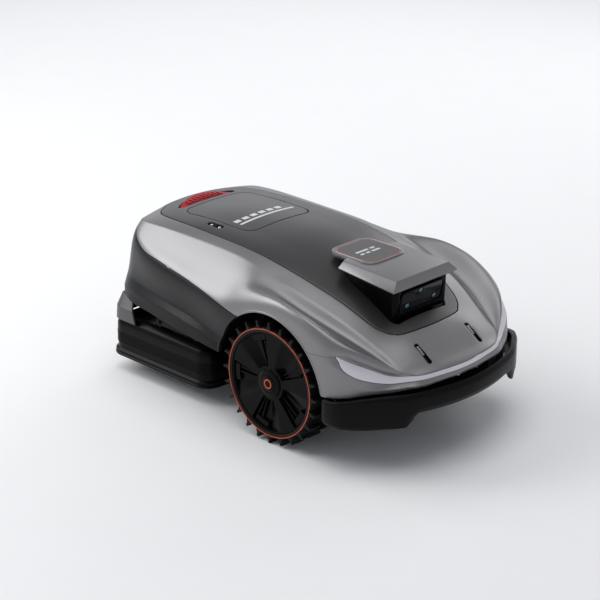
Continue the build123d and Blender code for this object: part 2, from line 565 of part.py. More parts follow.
notch = block((DECK_REAR - 20, NOTCH_FRONT), (-NOTCH_HALF, NOTCH_HALF), (0, 200))
notch_wall = block((DECK_REAR + 8, NOTCH_FRONT + 3), (-NOTCH_HALF - 3, NOTCH_HALF + 3), (40, DECK_TOP - 4))
housing = deck_plan(-2, (SKIRT_TOP, DECK_TOP - 22)) + deck_plan(-3, (DECK_TOP - 22, DECK_TOP))
for k in range(RIBS):
    z = SKIRT_TOP + 3 + k * RIB_PITCH
    housing += deck_plan(-0.6, (z, z + RIB_PITCH / 2))
housing -= deck_plan(-5.5, (0, DECK_TOP - 3))
housing = housing + (notch_wall & deck_plan(-3, (SKIRT_TOP, DECK_TOP - 3))) - notch
for side in (-1, 1):
    housing -= post(BLADE_X, side * BLADE_Y, (60, 160), 34)
save("deck_housing", housing)

skirt = deck_plan(4, (DECK_BOTTOM, DECK_BOTTOM + 5)) + deck_plan(1.5, (DECK_BOTTOM + 5, DECK_BOTTOM + 8))
skirt += deck_plan(3, (DECK_BOTTOM + 8, DECK_BOTTOM + 12)) + deck_plan(-2, (DECK_BOTTOM + 12, SKIRT_TOP))
skirt = skirt - deck_plan(-5.5, (0, SKIRT_TOP + 1))
skirt += notch_wall & deck_plan(-5, (DECK_BOTTOM + 5, SKIRT_TOP))
save("deck_skirt", skirt - notch)

cover = deck_plan(-3, (DECK_TOP, DECK_TOP + 10), 60)
cover = cover - deck_plan(-6, (DECK_TOP - 3, DECK_TOP + 7), 60)
cover -= notch
for side in (-1, 1):
    cover -= post(BLADE_X, side * BLADE_Y, (60, 160), 34)
save("deck_cover", cover)

guard = deck_plan(0, (DECK_TOP + 3, DECK_TOP + 30), 4) + deck_plan(-2, (DECK_TOP + 30, DECK_TOP + 56), 24)
guard -= deck_plan(-4, (DECK_TOP, DECK_TOP + 30), 4) + deck_plan(-6, (DECK_TOP + 30, DECK_TOP + 60), 24)
keep = [(DECK_REAR - 5, DECK_TOP + 1), (DECK_REAR + 82, DECK_TOP + 1), (DECK_REAR + 60, DECK_TOP + 60),
        (DECK_REAR - 5, DECK_TOP + 60)]
guard &= side_prism(keep, 300)
guard &= block((DECK_REAR - 10, -250), (-240, -NOTCH_HALF - 10), (100, 170))
save("corner_guards", both(guard))

deck_ear = block((ARM_REAR - 11, ARM_REAR + 11), (-189, -183), (DECK_TOP + 2, ARM_HIGH + 9))
deck_ear += block((ARM_REAR - 20, ARM_REAR + 20), (-189, -160), (DECK_TOP + 10, DECK_TOP + 14))
deck_ear += rod(ARM_REAR, (-199, -184), ARM_LOW, PIVOT_R) + rod(ARM_REAR, (-199, -184), ARM_HIGH, PIVOT_R)
save("deck_ears", both(deck_ear - cover))
blade_motor = post(BLADE_X, -BLADE_Y, (62, 138), 33.7) - post(BLADE_X, -BLADE_Y, (60, 84), 5 + RUN)
save("blade_motors", both(fillet(blade_motor.edges().group_by(Axis.Z)[-1], 6)))

# ---------------------------------------------------------------- blade discs
for name, side in (("right", -1), ("left", 1)):
    middle = Pos(BLADE_X, side * BLADE_Y, 0)
    disc = middle * post(0, 0, (DISC_Z - 2, DISC_Z + 2), DISC_R) + middle * post(0, 0, (DISC_Z, 82), 5)
    disc += middle * post(0, 0, (DISC_Z - 6, DISC_Z), 11)
    for k in range(BLADES):
        turn = middle * Rot(0, 0, 120 * k + 60)
        disc += turn * post(BLADE_PIVOT_R, 0, (DISC_Z - 8, DISC_Z), 2.5)
        disc += turn * post(BLADE_PIVOT_R, 0, (DISC_Z - 9, DISC_Z - 6.8), 5)
        blade_plane = Plane.XY.offset(DISC_Z - 5) * Pos(BLADE_PIVOT_R + 11, 0)
        blade = extrude(blade_plane * SlotOverall(38, 16), amount=1)
        blade -= post(BLADE_PIVOT_R, 0, (0, 100), 2.6)
        save(f"blade_{name}_{k + 1}", turn * blade)
    save(f"blade_disc_{name}", disc)
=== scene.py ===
"""Looks of a robotic lawn mower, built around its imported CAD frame. Lengths in the tables are millimetres."""
import json
import math

import bmesh
import bpy
import numpy as np
from mathutils import Matrix, Vector


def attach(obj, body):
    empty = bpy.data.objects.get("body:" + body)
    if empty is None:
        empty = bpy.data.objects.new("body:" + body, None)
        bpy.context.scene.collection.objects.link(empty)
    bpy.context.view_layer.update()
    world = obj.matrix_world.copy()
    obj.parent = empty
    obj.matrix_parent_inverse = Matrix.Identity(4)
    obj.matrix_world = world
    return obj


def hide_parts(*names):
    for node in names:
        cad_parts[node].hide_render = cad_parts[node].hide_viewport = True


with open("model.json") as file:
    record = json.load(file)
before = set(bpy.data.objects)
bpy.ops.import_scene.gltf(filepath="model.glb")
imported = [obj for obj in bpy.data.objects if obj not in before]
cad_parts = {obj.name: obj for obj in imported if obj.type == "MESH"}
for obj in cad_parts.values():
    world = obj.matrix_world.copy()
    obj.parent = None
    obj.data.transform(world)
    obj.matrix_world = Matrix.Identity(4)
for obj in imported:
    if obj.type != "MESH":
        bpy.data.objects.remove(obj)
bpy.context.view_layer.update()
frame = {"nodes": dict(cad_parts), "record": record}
MM = 0.001

# -------------------- driving dimensions
WHEEL_X, WHEEL_Z = 96.0, 128.0
TIP_R = 127.8              # tip of the lugs
LUGS = 24
POCKETS = (43, 115, 187, 259, 331)           # angles of the wheel disc's five fields
ARCH_R = 145.0
GAP = 0.55                 # half of the joint between two mouldings
PANEL_GAP = 1.0            # half of the wider joint round the top panel
SKIN = 2.8                 # wall of the body mouldings
HATCH_REAR, HATCH_FRONT, HATCH_HALF, HATCH_CORNER = -314.0, -111.0, 90.0, 26.0
STOP_REAR, STOP_FRONT, STOP_HALF, STOP_TOP = -366.0, -330.0, 78.0, 344.8
STOP_CROWN = 9.6           # fall of the stop button's top towards its ends
RAIN_X, RAIN_Y, RAIN_Z, RAIN_LENGTH, RAIN_WIDTH = -195.0, -107.0, 342.6, 44.0, 13.0
RAIN_TILT = math.radians(8.4)                # the rain sensor follows the fall of the top panel
CONTACT_X, CONTACT_Y, CONTACT_Z, CONTACT_LENGTH, CONTACT_WIDTH = 341.5, 73.5, 213.2, 50.0, 11.0
DECK_SLOPE = math.radians(34)                # fall of the front deck towards the nose
WINDOW_X, WINDOW_Z, WINDOW_TILT = 270.6, 291.0, math.radians(11.6)
LENSES = ((-39, -11), (39, -11), (-6, 14))   # across and up, in the window's plane
PRINT_TOP = 0.35           # how far the print on the lid stands proud
DECK_REAR, DECK_FRONT, DECK_HALF, DECK_CORNER = -414.0, -109.0, 218.0, 32.0
NOTCH_FRONT, NOTCH_HALF = -288.0, 57.0
SEAM = [(150, 222), (203, 227.5), (262, 232.5), (285, 236)]   # side view of the joint of the nose fender

# -------------------- feature lines of the body
# Each line runs from the tail to the nose as (x, half width, height).
CENTRE = [
    (-403, 0, 203), (-402, 0, 302), (-400, 0, 325), (-396, 0, 332), (-389, 0, 335.5), (-380, 0, 338),
    (-345, 0, 342), (-300, 0, 346), (-234, 0, 350.5), (-165, 0, 352), (-104, 0, 351), (-27, 0, 347),
    (44, 0, 338), (100, 0, 325), (150, 0, 309), (200, 0, 290), (256, 0, 264), (298, 0, 243), (320, 0, 230),
    (363, 0, 201), (386, 0, 189), (391, 0, 177)]
PANEL = [
    (-403, 50, 203), (-402, 50, 298), (-400, 52, 321), (-396, 58, 328.5), (-389, 66, 332), (-380, 78, 334),
    (-356, 113, 334.5), (-324, 126, 336), (-234, 134, 339.5), (-179, 136.5, 339.5), (-92, 139, 338),
    (-27, 140, 334), (44, 140, 324), (102, 137, 311), (173, 130, 291), (215, 125, 275), (256, 116, 254),
    (276, 103, 245), (289, 88, 240), (320, 82, 227), (363, 66, 200), (386, 12, 188.5), (391, 8, 176.8)]
CREASE = [
    (-403, 90, 202.5), (-402, 91, 280), (-400, 94, 298), (-396, 104, 311), (-389, 122, 318.5),
    (-380, 146, 323.5), (-365, 158, 326), (-330, 162, 329), (-271, 163, 331), (-122, 163, 330),
    (-45, 166, 327), (5, 170, 320), (37, 172, 313), (77, 173.5, 307), (102, 173, 301), (150, 170, 288),
    (203, 165, 272), (258, 154, 247), (286, 148, 231), (314, 144, 216), (343, 140, 199), (358, 122, 193),
    (375, 84, 190.5), (386, 16, 188), (391, 12, 176.5)]
TROUGH = [
    (-403, 110, 202), (-400, 112, 280), (-396, 118, 297), (-389, 128, 311), (-380, 151, 319),
    (-365, 163, 321.5), (-330, 175, 318.5), (-230, 183.4, 314), (-130, 187.5, 310), (-41, 194.5, 307),
    (0, 200, 307), (50, 201, 298), (100, 199, 285), (150, 195, 270), (203, 187, 255), (250, 175, 238),
    (286, 163, 222), (314, 153, 209), (335, 147, 201), (348, 138, 196), (358, 124, 192.4), (375, 87, 190),
    (386, 19, 187.4), (391, 15, 176)]
CREST = [
    (-403, 125, 201), (-400, 126, 270), (-396, 131, 285), (-389, 134, 307), (-380, 154, 316),
    (-365, 167, 318), (-330, 187, 308.3), (-230, 201.7, 297), (-130, 208, 289.5), (-41, 216.5, 287),
    (-2, 222, 293), (51, 227, 302), (107, 235, 307), (136, 239, 305), (185, 240, 296), (236, 234, 277),
    (262, 227, 264), (285, 217, 253), (303, 203, 241), (320, 186, 228), (335, 165, 213), (348, 143, 200),
    (358, 126, 192), (375, 89, 189.6), (386, 22, 187), (391, 18, 175.5)]
SHOULDER = [
    (-403, 135, 200), (-400, 136, 265), (-396, 142, 278), (-389, 139, 305), (-380, 156.5, 314),
    (-365, 170, 314.5), (-330, 194, 302.3), (-230, 211, 289.3), (-130, 219, 279), (-41, 230.5, 273),
    (8, 237.5, 279), (50, 240, 288), (96, 243.5, 294), (150, 247, 288), (200, 247, 275), (245, 242, 256),
    (262, 238, 245), (285, 223, 238), (303, 207, 229), (320, 189, 217), (335, 166, 203), (348, 143.5, 196),
    (358, 127, 191.3), (375, 91, 189), (386, 25, 186.4), (391, 20, 175)]
BELT = [
    (-403, 142, 199), (-396, 152, 258), (-389, 142, 304), (-380, 158, 312), (-367, 173, 310),
    (-347, 190, 301), (-306, 207, 288), (-244, 217, 281), (-134, 228, 267), (-51, 240, 257), (8, 246, 252),
    (96, 247, 262), (200, 249, 245), (245, 246, 238), (265, 239, 234), (284, 216, 224), (319, 184, 205),
    (337, 158, 193), (358, 127.5, 190.2), (375, 93, 188.4), (386, 28, 186), (391, 22, 174.6)]
SOFT = [
    (-403, 145, 197), (-396, 167, 214), (-389, 179, 214), (-380, 187.5, 214), (-355, 201, 213),
    (-230, 222.5, 206), (-142, 229.5, 198), (-68, 238, 189), (8, 245.2, 190), (96, 247, 200), (200, 249, 205),
    (245, 248.5, 212), (265, 242, 224), (280, 238, 214), (297, 229, 201), (313, 213, 191), (338, 171, 179),
    (358, 136, 178), (375, 102, 178.5), (386, 46, 179), (391, 24, 174)]
SHARP = [
    (-403, 150, 192), (-396, 176, 190), (-389, 189, 189.5), (-380, 198, 189), (-365, 206, 189.5),
    (-317, 220, 190), (-222, 233, 190), (-134, 240, 182), (-43, 245, 172), (96, 247, 172), (245, 248.5, 176),
    (270, 244, 180), (297, 231, 178), (320, 207, 173), (345, 173, 171), (362, 143, 171.5), (378, 110, 172),
    (386, 60, 172.5), (391, 27, 172.5)]
HEM = [
    (-403, 149, 184), (-396, 174, 180), (-389, 189, 178), (-380, 198, 175), (-365, 206, 170),
    (-341, 214, 166), (-274, 222, 163), (-185, 231, 156), (-140, 235, 154), (-41, 244, 151), (96, 247, 149),
    (245, 247.5, 148), (270, 243, 151), (297, 231, 157), (320, 206, 162), (345, 172, 164), (362, 142, 166),
    (378, 108, 168), (386, 58, 169), (391, 26, 170)]
RINGS = [CENTRE, PANEL, CREASE, TROUGH, CREST, SHOULDER, BELT, SOFT, SHARP, HEM]
# Side view of the joint between the silver shell and the dark side panels.
PANEL_TOP = [(-430, 316), (-388, 314), (-367, 310.5), (-347, 301.5), (-306, 288.5), (-244, 281.5),
             (-134, 267.5), (-51, 255), (12, 244.5)]
# Side view of the light strip along the nose, upper and lower edge.
STRIP_HIGH = [(264, 236), (284, 223), (319, 204), (337, 192), (358, 189), (392, 188)]
STRIP_LOW = [(392, 180), (375, 179.5), (358, 179), (338, 180), (313, 192), (297, 202), (280, 215), (267, 230)]


# -------------------- materials
def node(tree, kind, **values):
    """Adds a shader node with some of its inputs set."""
    made = tree.nodes.new(kind)
    for name, value in values.items():
        made.inputs[name].default_value = value
    return made


def finish(name, colour, rough=0.5, metal=0.0, coat=0.0, coat_rough=0.1, grain=900.0, bump=0.1, depth=0.0002,
           mottle=0.08, patch=9.0, flake=0.0, spec=0.5, ior=1.5, rough_swing=0.06):
    """A moulded, painted or metal surface: fine grain in the relief, soft variation in colour and gloss."""
    made = bpy.data.materials.new(name)
    made.use_nodes = True
    tree = made.node_tree
    tree.nodes.clear()
    link = tree.links.new
    out = node(tree, "ShaderNodeOutputMaterial")
    gloss = {"Coat Weight": coat, "Coat Roughness": coat_rough, "Specular IOR Level": spec, "IOR": ior}
    shader = node(tree, "ShaderNodeBsdfPrincipled", Metallic=metal, **gloss)
    link(shader.outputs["BSDF"], out.inputs["Surface"])
    place = node(tree, "ShaderNodeTexCoord")
    broad = node(tree, "ShaderNodeTexNoise", Scale=patch, Detail=3.0)
    fine = node(tree, "ShaderNodeTexNoise", Scale=grain, Detail=2.0)
    for texture in (broad, fine):
        link(place.outputs["Object"], texture.inputs["Vector"])
    shade = node(tree, "ShaderNodeMix")
    shade.data_type = "RGBA"
    shade.inputs["A"].default_value = (*[c * (1 - mottle) for c in colour], 1)
    shade.inputs["B"].default_value = (*[min(1.0, c * (1 + mottle)) for c in colour], 1)
    link(broad.outputs["Fac"], shade.inputs["Factor"])
    colour_out = shade.outputs["Result"]
    if flake:
        cells = node(tree, "ShaderNodeTexVoronoi", Scale=grain)
        link(place.outputs["Object"], cells.inputs["Vector"])
        sparkle = node(tree, "ShaderNodeMapRange", **{"To Min": 1 - flake, "To Max": 1 + flake})
        link(cells.outputs["Color"], sparkle.inputs["Value"])
        tint = node(tree, "ShaderNodeMix")
        tint.data_type = "RGBA"
        tint.blend_type = "MULTIPLY"
        tint.inputs["Factor"].default_value = 1.0
        link(colour_out, tint.inputs["A"])
        link(sparkle.outputs["Result"], tint.inputs["B"])
        colour_out = tint.outputs["Result"]
    link(colour_out, shader.inputs["Base Color"])
    swing = {"To Min": max(0.02, rough - rough_swing), "To Max": min(1.0, rough + rough_swing)}
    roughness = node(tree, "ShaderNodeMapRange", **swing)
    link(broad.outputs["Fac"], roughness.inputs["Value"])
    link(roughness.outputs["Result"], shader.inputs["Roughness"])
    relief = node(tree, "ShaderNodeBump", Strength=bump, Distance=depth)
    link(fine.outputs["Fac"], relief.inputs["Height"])
    link(relief.outputs["Normal"], shader.inputs["Normal"])
    return made


SILVER = finish("silver_paint", (0.235, 0.230, 0.235), rough=0.40, metal=0.82, coat=0.08, coat_rough=0.35,
                grain=2600, bump=0.22, depth=0.00015, mottle=0.02, flake=0.14, rough_swing=0.02)
PANEL_GREY = finish("warm_grey_satin", (0.026, 0.0242, 0.0246), rough=0.36, grain=2000, bump=0.12,
                    mottle=0.05, flake=0.10, spec=0.62, rough_swing=0.03)
CHARCOAL = finish("charcoal_grain", (0.0075, 0.0075, 0.008), rough=0.34, grain=1900, bump=0.5, depth=0.00025,
                  ior=1.32)
TRIM = finish("light_satin", (0.68, 0.64, 0.685), rough=0.35, coat=0.2, grain=1400, bump=0.05, mottle=0.03)
BLACK = finish("black_moulding", (0.0028, 0.0028, 0.003), rough=0.34, grain=1300, bump=0.3, mottle=0.15,
               ior=1.2)
DECK_BLACK = finish("deck_moulding", (0.0020, 0.0020, 0.0022), rough=0.30, grain=1300, bump=0.2, mottle=0.12,
                    ior=1.2)
GLOSS = finish("gloss_black", (0.002, 0.002, 0.0022), rough=0.25, bump=0.03, mottle=0.1, ior=1.17)
RUBBER = finish("tyre_rubber", (0.0055, 0.0055, 0.0057), bump=0.5, depth=0.0003, mottle=0.25, spec=0.18)
RED = finish("red_moulding", (0.36, 0.014, 0.018), rough=0.42, grain=1200, bump=0.15, ior=1.25)
ORANGE = finish("orange_moulding", (0.60, 0.075, 0.018), rough=0.42)
GUARD = finish("guard_grey", (0.115, 0.112, 0.115), rough=0.42, metal=0.6, grain=1800, bump=0.25, mottle=0.04,
               flake=0.1)
BRIGHT = finish("bright_print", (0.62, 0.62, 0.63), rough=0.4, bump=0.05, mottle=0.03)
STEEL = finish("brushed_steel", (0.55, 0.55, 0.54), rough=0.3, metal=1.0, grain=300, bump=0.2, mottle=0.06)
ZINC = finish("cast_zinc", (0.42, 0.42, 0.43), rough=0.45, metal=0.9, grain=500, bump=0.4, mottle=0.12)
BOARD = finish("circuit_board", (0.01, 0.09, 0.04), rough=0.4, coat=0.3, grain=260, bump=0.3, mottle=0.3,
               patch=60)
CASE = finish("battery_case", (0.04, 0.042, 0.046), rough=0.55, grain=600, bump=0.35, mottle=0.1)
SCREEN = finish("screen_glass", (0.008, 0.014, 0.018), rough=0.08, coat=1.0, coat_rough=0.03, grain=200,
                bump=0.01, mottle=0.1)
LENS = finish("coated_lens", (0.002, 0.016, 0.022), rough=0.07, coat=1.0, coat_rough=0.02, grain=200,
              bump=0.01, mottle=0.4, patch=160, spec=0.9)
# The teal lens rings are a painted glint: a reflection on the lenses given as colour.
PAINTED_GLINT = finish("lens_glint", (0.004, 0.17, 0.23), rough=0.2, coat=0.6, grain=200, bump=0.02, mottle=0.3,
              patch=120)
PANE = finish("dark_pane", (0.002, 0.0025, 0.003), rough=0.05, coat=0.1, coat_rough=0.02, grain=200,
              bump=0.005, mottle=0.1, spec=0.3)

BY_SLOT = {
    "shell_silver": SILVER, "panel_grey": PANEL_GREY, "side_dark": CHARCOAL, "trim_light": TRIM,
    "black_plastic": BLACK, "red_plastic": RED, "orange_plastic": ORANGE, "tyre_rubber": RUBBER,
    "window_glass": PANE, "lens_glass": LENS, "steel": STEEL, "zinc": ZINC, "board_green": BOARD,
    "battery_case": CASE, "display": SCREEN,
}
SLOT_OF = {material.name: slot for slot, material in BY_SLOT.items()}
SLOT_OF.update(deck_moulding="black_plastic", gloss_black="black_plastic", guard_grey="shell_silver",
               bright_print="trim_light", lens_glint="lens_glass")
for part in frame["record"]["subparts"]:
    data = frame["nodes"][part["node"]].data
    data.materials.clear()
    data.materials.append(BY_SLOT[part["material_slot"]])
for dark in ("hatch_hinge_pins", "charging_contacts"):
    frame["nodes"][dark].data.materials[0] = BLACK


# -------------------- mesh helpers
def placed(name, data):
    """A new object in the scene."""
    made = bpy.data.objects.new(name, data)
    bpy.context.scene.collection.objects.link(made)
    return made


def add_piece(name, form, material, body, nodes=(), angle=35, modifiers=()):
    """Makes a piece from (points, faces) in millimetres, riding on a body and standing for CAD nodes."""
    mesh = bpy.data.meshes.new(name)
    mesh.from_pydata([tuple(c * MM for c in p) for p in form[0]], [], [tuple(f) for f in form[1]])
    work = bmesh.new()
    work.from_mesh(mesh)
    bmesh.ops.remove_doubles(work, verts=work.verts, dist=0.00002)
    loose = [v for v in work.verts if not v.link_faces]
    bmesh.ops.delete(work, geom=loose, context="VERTS")
    work.to_mesh(mesh)
    work.free()
    dress(name, mesh, material, body, nodes, angle, modifiers)


def dress(name, mesh, material, body, nodes=(), angle=35, modifiers=()):
    """Turns a mesh into a finished piece: modifiers applied, shaded, riding on its body."""
    piece = placed(name, mesh)
    for kind, settings in modifiers:
        step = piece.modifiers.new(kind.lower(), kind)
        for key, value in settings.items():
            setattr(step, key, value)
    if modifiers:
        bpy.context.view_layer.update()
        shaped = bpy.data.meshes.new_from_object(piece.evaluated_get(bpy.context.evaluated_depsgraph_get()))
        piece.modifiers.clear()
        piece.data = shaped
    piece.data.shade_smooth()
    piece.data.set_sharp_from_angle(angle=math.radians(angle))
    piece.data.materials.clear()
    piece.data.materials.append(material)
    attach(piece, body)
    if nodes:
        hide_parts(*nodes)


def bevel(width, segments=2, angle=30):
    """Settings of a rounding along the sharp edges."""
    return ("BEVEL", {"width": width * MM, "segments": segments, "limit_method": "ANGLE",
                      "angle_limit": math.radians(angle), "harden_normals": False,
                      "miter_outer": "MITER_ARC"})


def shell_wall(thickness=SKIN):
    """Settings that give a sheet its wall, inwards."""
    return ("SOLIDIFY", {"thickness": thickness * MM, "offset": -1.0, "use_even_offset": False,
                         "use_rim": True})


def softened(cad, name, body, material, width, angle):
    """A CAD node's form with rounded edges, standing for that node."""
    work = bmesh.new()
    work.from_mesh(frame["nodes"][cad].data)
    bmesh.ops.remove_doubles(work, verts=work.verts, dist=0.00003)
    bmesh.ops.dissolve_limit(work, angle_limit=math.radians(1.5), verts=work.verts, edges=work.edges)
    mesh = bpy.data.meshes.new(name)
    work.to_mesh(mesh)
    work.free()
    dress(name, mesh, material, body, [cad], 38, [bevel(width, 3, angle)])


def loft(rings, closed=True, first_cap=False, last_cap=False):
    """Points and faces over a list of rings of equal length."""
    count, faces = len(rings[0]), []
    for i in range(len(rings) - 1):
        for j in range(count if closed else count - 1):
            k = (j + 1) % count
            faces.append((i * count + j, i * count + k, (i + 1) * count + k, (i + 1) * count + j))
    if first_cap:
        faces.append(tuple(range(count))[::-1])
    if last_cap:
        faces.append(tuple((len(rings) - 1) * count + j for j in range(count)))
    return [p for ring in rings for p in ring], faces


def joined(*meshes):
    """Several (points, faces) pairs as one."""
    points, faces = [], []
    for p, f in meshes:
        base = len(points)
        points.extend(p)
        faces.extend([tuple(i + base for i in face) for face in f])
    return points, faces


def rounded(x0, x1, half, corner, steps=8):
    """Outline of a rounded rectangle that is symmetric about the middle plane."""
    outline = []
    for cx, cy, start in ((x1 - corner, half - corner, 0), (x0 + corner, half - corner, 90),
                          (x0 + corner, corner - half, 180), (x1 - corner, corner - half, 270)):
        for k in range(steps + 1):
            a = math.radians(start + 90 * k / steps)
            outline.append((cx + corner * math.cos(a), cy + corner * math.sin(a)))
    return outline


def rectangle(x0, x1, y0, y1):
    """Outline of a rectangle."""
    return [(x0, y0), (x1, y0), (x1, y1), (x0, y1)]


def distance(outline, u, v):
    """Signed distance in a plane from a closed outline, negative inside."""
    best = np.full(len(u), 1e9)
    inside = np.zeros(len(u), bool)
    for (ax, ay), (bx, by) in zip(outline, [*outline[1:], outline[0]]):
        ex, ey = bx - ax, by - ay
        t = np.clip(((u - ax) * ex + (v - ay) * ey) / (ex * ex + ey * ey + 1e-12), 0, 1)
        best = np.minimum(best, np.hypot(u - ax - t * ex, v - ay - t * ey))
        crosses = (ay > v) != (by > v)
        inside ^= crosses & (u < (v - ay) * ex / (ey if ey else 1e-12) + ax)
    return np.where(inside, -best, best)


def clip(sheet, value):
    """The part of a sheet where a value is negative, cut along its zero line."""
    points, faces = sheet
    points = np.array(points, float)
    values = np.array(value(points), float)
    edges = {(min(f[i], f[i - 1]), max(f[i], f[i - 1])) for f in faces for i in range(len(f))}
    for a, b in edges:
        if (values[a] < 0) != (values[b] < 0) and values[a] != 0 and values[b] != 0:
            t = values[a] / (values[a] - values[b])
            near = a if t < 0.18 else b if t > 0.82 else None
            if near is not None:
                points[near] = points[a] + (points[b] - points[a]) * t
                values[near] = 0.0
    points = [tuple(p) for p in points]
    values = list(values)
    cuts, kept = {}, []
    for face in faces:
        if all(values[i] <= 0 for i in face):
            kept.append(face)
            continue
        if all(values[i] >= 0 for i in face):
            continue
        ring = []
        for i, a in enumerate(face):
            b = face[(i + 1) % len(face)]
            if values[a] <= 0:
                ring.append(a)
            if values[a] * values[b] < 0:
                key = (min(a, b), max(a, b))
                if key not in cuts:
                    t = values[a] / (values[a] - values[b])
                    cuts[key] = len(points)
                    points.append(tuple(np.array(points[a]) * (1 - t) + np.array(points[b]) * t))
                    values.append(0.0)
                ring.append(cuts[key])
        if len(ring) > 2:
            kept.append(tuple(ring))
    used = sorted({i for f in kept for i in f})
    number = {old: new for new, old in enumerate(used)}
    return [points[i] for i in used], [tuple(number[i] for i in f) for f in kept]


def plan_of(outline, sign=1, shift=0.0):
    """A value for clip(): inside (sign 1) or outside (sign -1) an outline in plan, with a gap."""
    return lambda p: sign * distance(outline, p[:, 0], p[:, 1]) + shift


def side_of(outline, sign=1, shift=0.0):
    """A value for clip(): inside (sign 1) or outside (sign -1) an outline in side view, with a gap."""
    return lambda p: sign * distance(outline, p[:, 0], p[:, 2]) + shift


# -------------------- the body's surface
def hermite(t, start, leave, end, reach):
    """Points on a smooth curve from start to end, with the slopes at both."""
    return ((2 * t**3 - 3 * t**2 + 1) * start + (t**3 - 2 * t**2 + t) * leave
            + (3 * t**2 - 2 * t**3) * end + (t**3 - t**2) * reach)


def along(line, xs):
    """Half width and height of a feature line at many stations, on a smooth curve through its points."""
    line = np.array(line, float)
    x = line[:, 0]
    slopes = np.empty((len(line), 2))
    for i in range(len(line)):
        a, b = max(i - 1, 0), min(i + 1, len(line) - 1)
        slopes[i] = (line[b, 1:] - line[a, 1:]) / (x[b] - x[a])
    xs = np.clip(xs, x[0], x[-1])
    k = np.clip(np.searchsorted(x, xs) - 1, 0, len(x) - 2)
    span = (x[k + 1] - x[k])[:, None]
    t = ((xs - x[k]) / span[:, 0])[:, None]
    return hermite(t, line[k, 1:], span * slopes[k], line[k + 1, 1:], span * slopes[k + 1])


def stations(step):
    """Places along the body, closer together where the tail and the nose turn steep."""
    x = np.linspace(CENTRE[0][0], CENTRE[-1][0], 6000)
    edge, middle = along(SHARP, x), along(CENTRE, x)
    run = np.sqrt(np.diff(x)**2 + np.diff(edge[:, 0])**2 + np.diff(middle[:, 1])**2)
    run = np.concatenate([[0], np.cumsum(run)])
    return np.interp(np.linspace(0, run[-1], int(run[-1] / step)), run, x)


def faired(values, width=4.0):
    """A row of values with small waves taken out, except near the tail and the nose."""
    reach = int(3 * width)
    kernel = np.exp(-0.5 * (np.arange(-reach, reach + 1) / width)**2)
    before, after = 2 * values[0] - values[reach:0:-1], 2 * values[-1] - values[-2:-reach - 2:-1]
    smooth = np.convolve(np.concatenate([before, values, after]), kernel / kernel.sum(), "valid")
    place = np.arange(len(values))
    inner = np.minimum(place - HELD_TAIL, len(values) - 1 - place - HELD_NOSE)
    return values + (smooth - values) * np.clip(inner / HELD_FADE, 0, 1)


# How sharply the section turns at each line, from the middle outwards, and the steps between the lines.
SHARPNESS = (0.0, 0.0, 0.0, 0.9, 0.0, 0.1, 0.0, 0.1, 0.75, 1.0)
SAMPLES = (14, 14, 8, 8, 10, 6, 9, 16, 8, 9)
HELD_TAIL, HELD_NOSE, HELD_FADE = 40, 44, 25.0       # stations that fairing leaves as they are
SOFT_ZONE, SOFT_PASSES = (39, 45, 60, 67), 14        # columns round the fender's crest that are smoothed


def body_sheet(step=3.4):
    """The outer surface of the whole body as one sheet."""
    xs = stations(step)
    rings = [along(line, xs) for line in RINGS]
    rings = [np.stack([faired(r[:, 0]), faired(r[:, 1])], 1) for r in rings]
    middle = np.stack([rings[1][:, 0] / 2, (3 * rings[0][:, 1] + rings[1][:, 1]) / 4], 1)
    rings.insert(1, middle)
    rings = np.array(rings).transpose(1, 0, 2)
    chord = rings[:, 1:] - rings[:, :-1]
    length = np.maximum(np.linalg.norm(chord, axis=2, keepdims=True), 1e-6)
    unit = chord / length
    count = rings.shape[1]
    leave, reach = np.zeros_like(rings), np.zeros_like(rings)
    leave[:, 0] = (1.0, 0.0)
    reach[:, -1] = unit[:, -1]
    for i in range(1, count - 1):
        before, after = length[:, i - 1], length[:, i]
        blend = (unit[:, i - 1] * after + unit[:, i] * before) / (before + after)
        reach[:, i] = blend * (1 - SHARPNESS[i]) + unit[:, i - 1] * SHARPNESS[i]
        leave[:, i] = blend * (1 - SHARPNESS[i]) + unit[:, i] * SHARPNESS[i]
    rows = []
    for i in range(count - 1):
        for t in np.linspace(0, 1, SAMPLES[i], endpoint=False):
            rows.append(hermite(t, rings[:, i], length[:, i] * leave[:, i],
                                rings[:, i + 1], length[:, i] * reach[:, i + 1]))
    rows.append(rings[:, -1])
    half = np.array(rows).transpose(1, 0, 2)
    mask = np.interp(np.arange(half.shape[1]), SOFT_ZONE, (0, 1, 1, 0))[None, 1:-1, None]
    for _ in range(SOFT_PASSES):
        average = (half[:, :-2] + 2 * half[:, 1:-1] + half[:, 2:]) / 4
        half[:, 1:-1] += (average - half[:, 1:-1]) * mask
    full = np.concatenate([half[:, :0:-1] * (-1, 1), half], axis=1)
    outline = [[(xs[0], y, HEM[0][2]) for y in full[0, :, 0]]]
    outline += [[(x, y, z) for y, z in row] for x, row in zip(xs, full)]
    outline += [[(xs[-1], y, HEM[-1][2]) for y in full[-1, :, 0]]]
    points, faces = loft(outline, closed=False)
    return points, [f[::-1] for f in faces]


def mirrored(right):
    """A closed plan from its right half, given as (x, half width)."""
    return [*[(x, -h) for x, h in right], *[(x, h) for x, h in reversed(right)]]


def panel_outline():
    """Plan of the dark top panel, on the smooth panel line."""
    xs = np.linspace(-380, 289, 160)
    return mirrored([(-386.5, 40), (-385, 64), *zip(xs, along(PANEL, xs)[:, 0]), (294, 72), (298, 50),
                     (300.5, 20), (301, 0)])


def hatch_outline(rear=0, front=0, half=0, corner=0):
    """Plan of the display hatch, grown by a margin at each side and in the corners."""
    return rounded(HATCH_REAR - rear, HATCH_FRONT + front, HATCH_HALF + half, HATCH_CORNER + corner)


